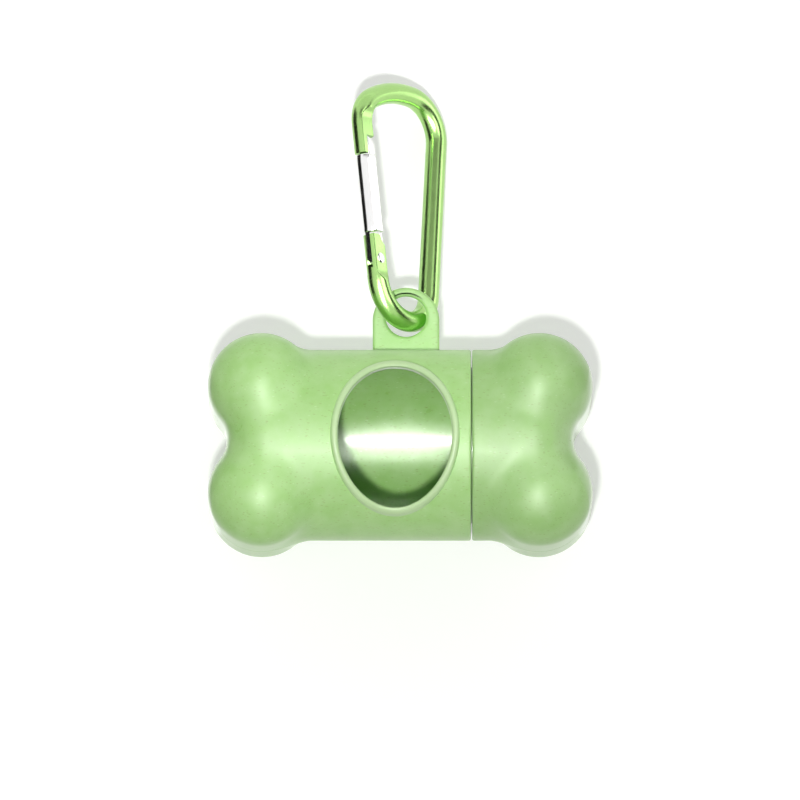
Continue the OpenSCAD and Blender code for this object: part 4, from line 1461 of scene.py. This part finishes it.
clip_mesh = cut(rod_mesh, [
    prism("slot", slot_outline, -SLOT, SLOT, in_flat),
    prism("hollow", round_outline(HOLLOW_X, HOLLOW_Y, HOLLOW_R), -FAR / 2, FAR / 2, in_flat),
    prism("rivet hole", round_outline(0, 0, RIVET_HOLE_R), -FAR / 2, FAR / 2, in_flat),
    prism("seat", seat_outline, -FAR / 2, FAR / 2, in_flat), bore])
clip_mesh.transform(to_place)
clip_mesh = outward(clip_mesh, 32)
print("clip:", len(clip_mesh.polygons), "faces, spans", reach_of(clip_mesh))

# %% [markdown]
# ## Gate bar
#
# The gate is a bare polished bar with flats. It is a loft of sections, each a circle with its
# top and bottom held back to the flats, and its ends are slightly rounded, because a capped
# cylinder has no such edge.

# %% Gate bar
GATE_R = 2.1
GATE_FLAT = 1.75
GATE_LOW = 5.7
GATE_HIGH = GATE_LENGTH - 3.9
# how far each section lies from the bar's end, and how far it is set in
BAR_END = [(0.0, 0.35), (0.04, 0.2), (0.15, 0.06), (0.35, 0.0)]


def gate_bar(name):
    """A round bar along the leg, with two flats and rounded ends."""
    rows = [(GATE_LOW + along, inset) for along, inset in BAR_END]
    rows += [(y, 0.0) for y in np.arange(GATE_LOW + 1.5, GATE_HIGH - 1, 1.0)]
    rows += [(GATE_HIGH - back, inset) for back, inset in reversed(BAR_END)]
    count = 56
    points = []
    for y, inset in rows:
        radius, flat = GATE_R - inset, GATE_FLAT - inset
        for a in np.linspace(0, 2 * math.pi, count, endpoint=False):
            points.append((radius * math.cos(a), y, max(-flat, min(flat, radius * math.sin(a)))))
    faces = []
    for k in range(len(rows) - 1):
        here, above = k * count, (k + 1) * count
        faces += [(here + j, above + j, above + (j + 1) % count, here + (j + 1) % count)
                  for j in range(count)]
    faces += [tuple(range(count)), tuple(range((len(rows) - 1) * count, len(rows) * count))]
    mesh = mesh_of(name, points, faces)
    mesh.transform(to_leg)
    return outward(mesh)


bar_mesh = gate_bar("bar")
print("gate bar:", len(bar_mesh.polygons), "faces")

# %% [markdown]
# ## Tip and tongue
#
# The gate's tip laps inside the nose. Its tongue sits in the fork on a rivet and ends in a
# heel that pushes a small plunger against a spring when the gate opens. The heel is a spiral,
# a little farther from the rivet with every degree, so the push grows evenly.

# %% Gate tip and tongue
TIP_HALF = 1.3
TIP_ROUND = 0.18
TIP_R = 2.45
TIP_X = -0.4
TIP_EDGE_X = 2.0
TONGUE_HALF = 0.58
TONGUE_R = 2.0
TONGUE_TOP = 7.0
TONGUE_TOP_X = 1.9
HEEL_GROWTH = 0.82
tip_outline = [(TIP_X, GATE_HIGH - 2), (TIP_EDGE_X, GATE_HIGH - 2)]
tip_outline += [(TIP_X + TIP_R * math.sin(a), GATE_LENGTH - TIP_R + TIP_R * math.cos(a))
                for a in np.linspace(math.asin((TIP_EDGE_X - TIP_X) / TIP_R), 0, 14)]
tip_mesh = outward(prism("tip", tip_outline, -TIP_HALF, TIP_HALF, to_leg, soft=TIP_ROUND), 50)
tongue_outline = [(-TONGUE_TOP_X, TONGUE_TOP), (-TONGUE_R, 0.0)]
tongue_outline += [(TONGUE_R * math.cos(a), TONGUE_R * math.sin(a))
                   for a in map(math.radians, range(186, 266, 6))]
tongue_outline += [((TONGUE_R + HEEL_GROWTH * a) * math.sin(a), -(TONGUE_R + HEEL_GROWTH * a) * math.cos(a))
                   for a in map(math.radians, range(0, 60, 5))]
tongue_outline += [(2.25, 0.4), (TONGUE_TOP_X, TONGUE_TOP)]
rivet_way = prism("rivet way", round_outline(0, 0, RIVET_HOLE_R + 0.05), -2, 2, to_leg)
tongue_mesh = cut(prism("tongue", tongue_outline, -TONGUE_HALF, TONGUE_HALF, to_leg), [rivet_way])
gate_meshes = [bar_mesh, tip_mesh, outward(tongue_mesh)]
print("gate faces:", sum(len(m.polygons) for m in gate_meshes))

# %% [markdown]
# ## Rivet and plunger
#
# The rivet fills the hole through the fork, and its two low domes stand proud of the flats.
# The plunger is a small pin with a rounded top, which the heel presses down.

# %% Rivet and plunger
RIVET_HEAD_R = 1.12
RIVET_HIGH = FLAT + 0.18
PLUNGER_TOP = -2.19
PLUNGER_LONG = 1.5
PLUNGER_R = 0.8
# the head's profile, as places out from the middle and their radius
dome = [(FLAT - 0.02, 0.88), (FLAT, RIVET_HEAD_R), (FLAT + 0.06, RIVET_HEAD_R), (FLAT + 0.13, 1.0),
        (FLAT + 0.17, 0.7), (RIVET_HIGH, 0.3), (RIVET_HIGH, 0.005)]
rivet_mesh = turned("rivet", [(-x, r) for x, r in reversed(dome)] + dome, steps=48)
rivet_mesh.transform(to_leg @ Matrix.Rotation(-math.pi / 2, 4, "Y"))
plunger_foot = PLUNGER_TOP - PLUNGER_LONG
plunger_mesh = turned("plunger", [
    (PLUNGER_TOP, 0.005), (PLUNGER_TOP, 0.6), (PLUNGER_TOP - 0.06, 0.74), (PLUNGER_TOP - 0.2, PLUNGER_R),
    (plunger_foot + 0.1, PLUNGER_R), (plunger_foot, 0.7), (plunger_foot, 0.005)], steps=40)
plunger_mesh.transform(to_leg @ Matrix.Rotation(math.pi / 2, 4, "Z"))
print("rivet across:", round(2 * RIVET_HEAD_R, 2), "mm")

# %% [markdown]
# ## Return spring
#
# Five turns of thin wire follow a spiral, so Geometry Nodes sweeps a small circle along one.

# %% Spring swept along a spiral
COIL_R = 0.58
WIRE_R = 0.17
COIL_GAP = 0.18
spring_long = plunger_foot - SPRING_LOW


def spring_tree():
    """Sweeps a wire along a spiral."""
    tree, given = geometry_tree("coil spring", {
        "Coil radius": COIL_R * MM, "Wire radius": WIRE_R * MM, "Turns": 5.0,
        "Length": (spring_long - 2 * COIL_GAP) * MM})
    path = add(tree, "GeometryNodeCurveSpiral", {
        "Resolution": 28, "Rotations": given["Turns"], "Start Radius": given["Coil radius"],
        "End Radius": given["Coil radius"], "Height": given["Length"], "Reverse": True})
    wire = add(tree, "GeometryNodeCurvePrimitiveCircle", {"Resolution": 10, "Radius": given["Wire radius"]})
    swept = add(tree, "GeometryNodeCurveToMesh", {"Curve": path, "Profile Curve": wire, "Fill Caps": True})
    close_tree(tree, swept, given)
    return tree


spring_mesh = outward(grown("spring", bpy.data.meshes.new("none"), spring_tree(), spring_steel))
spring_mesh.transform(to_leg @ Matrix.Translation((0, (SPRING_LOW + COIL_GAP) * MM, 0))
                      @ Matrix.Rotation(-math.pi / 2, 4, "X"))
print("spring faces:", len(spring_mesh.polygons))

# %% [markdown]
# ## Pieces on their bodies
#
# Every mesh now joins the piece it belongs to. Each piece stands for one solid of the frame
# and rides on that solid's body, so the cap turns, the clip swings and the gate opens with
# all its details.

# %% Assemble
FINISHES = {"flecked_green": straw_green, "plain_green": plain_green, "green_anodised": green_anodised,
            "polished_alloy": polished_alloy, "spring_steel": spring_steel}
PIECES = [
    ("front shell of the body", "body", "body_front_shell", "flecked_green",
     [body_front_mesh, rim_mesh, tab_front_mesh, ribs["body", "front"]]),
    ("rear shell of the body", "body", "body_rear_shell", "flecked_green",
     [body_rear_mesh, tab_rear_mesh, ribs["body", "rear"]]),
    ("screw neck", "body", "body_neck", "plain_green", [neck_mesh, neck_ridges]),
    ("front shell of the cap", "cap", "cap_front_shell", "flecked_green",
     [cap_front_mesh, ribs["cap", "front"]]),
    ("rear shell of the cap", "cap", "cap_rear_shell", "flecked_green",
     [cap_rear_mesh, ribs["cap", "rear"]]),
    ("threaded liner", "cap", "cap_liner", "plain_green", [liner_mesh, liner_ridges]),
    ("end disc", "cap_slider", "cap_disc", "plain_green", [disc_mesh]),
    ("bent rod", "clip", "carabiner_frame", "green_anodised", [clip_mesh]),
    ("spring gate", "gate", "gate", "polished_alloy", gate_meshes),
    ("gate pin", "clip", "gate_rivet", "polished_alloy", [rivet_mesh]),
    ("gate plunger pin", "plunger", "gate_plunger", "spring_steel", [plunger_mesh]),
    ("return spring", "clip", "gate_spring", "spring_steel", [spring_mesh]),
]
dressed = {}
for name, body, node, slot_name, meshes in PIECES:
    made = piece(name.replace(" ", "_"), meshes, FINISHES[slot_name])
    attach(made, body)
    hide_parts(node)
    dressed[name] = made
print("pieces:", len(dressed))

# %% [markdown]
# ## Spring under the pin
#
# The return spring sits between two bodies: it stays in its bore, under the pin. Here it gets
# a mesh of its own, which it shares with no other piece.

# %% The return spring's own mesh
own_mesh(dressed["return spring"])
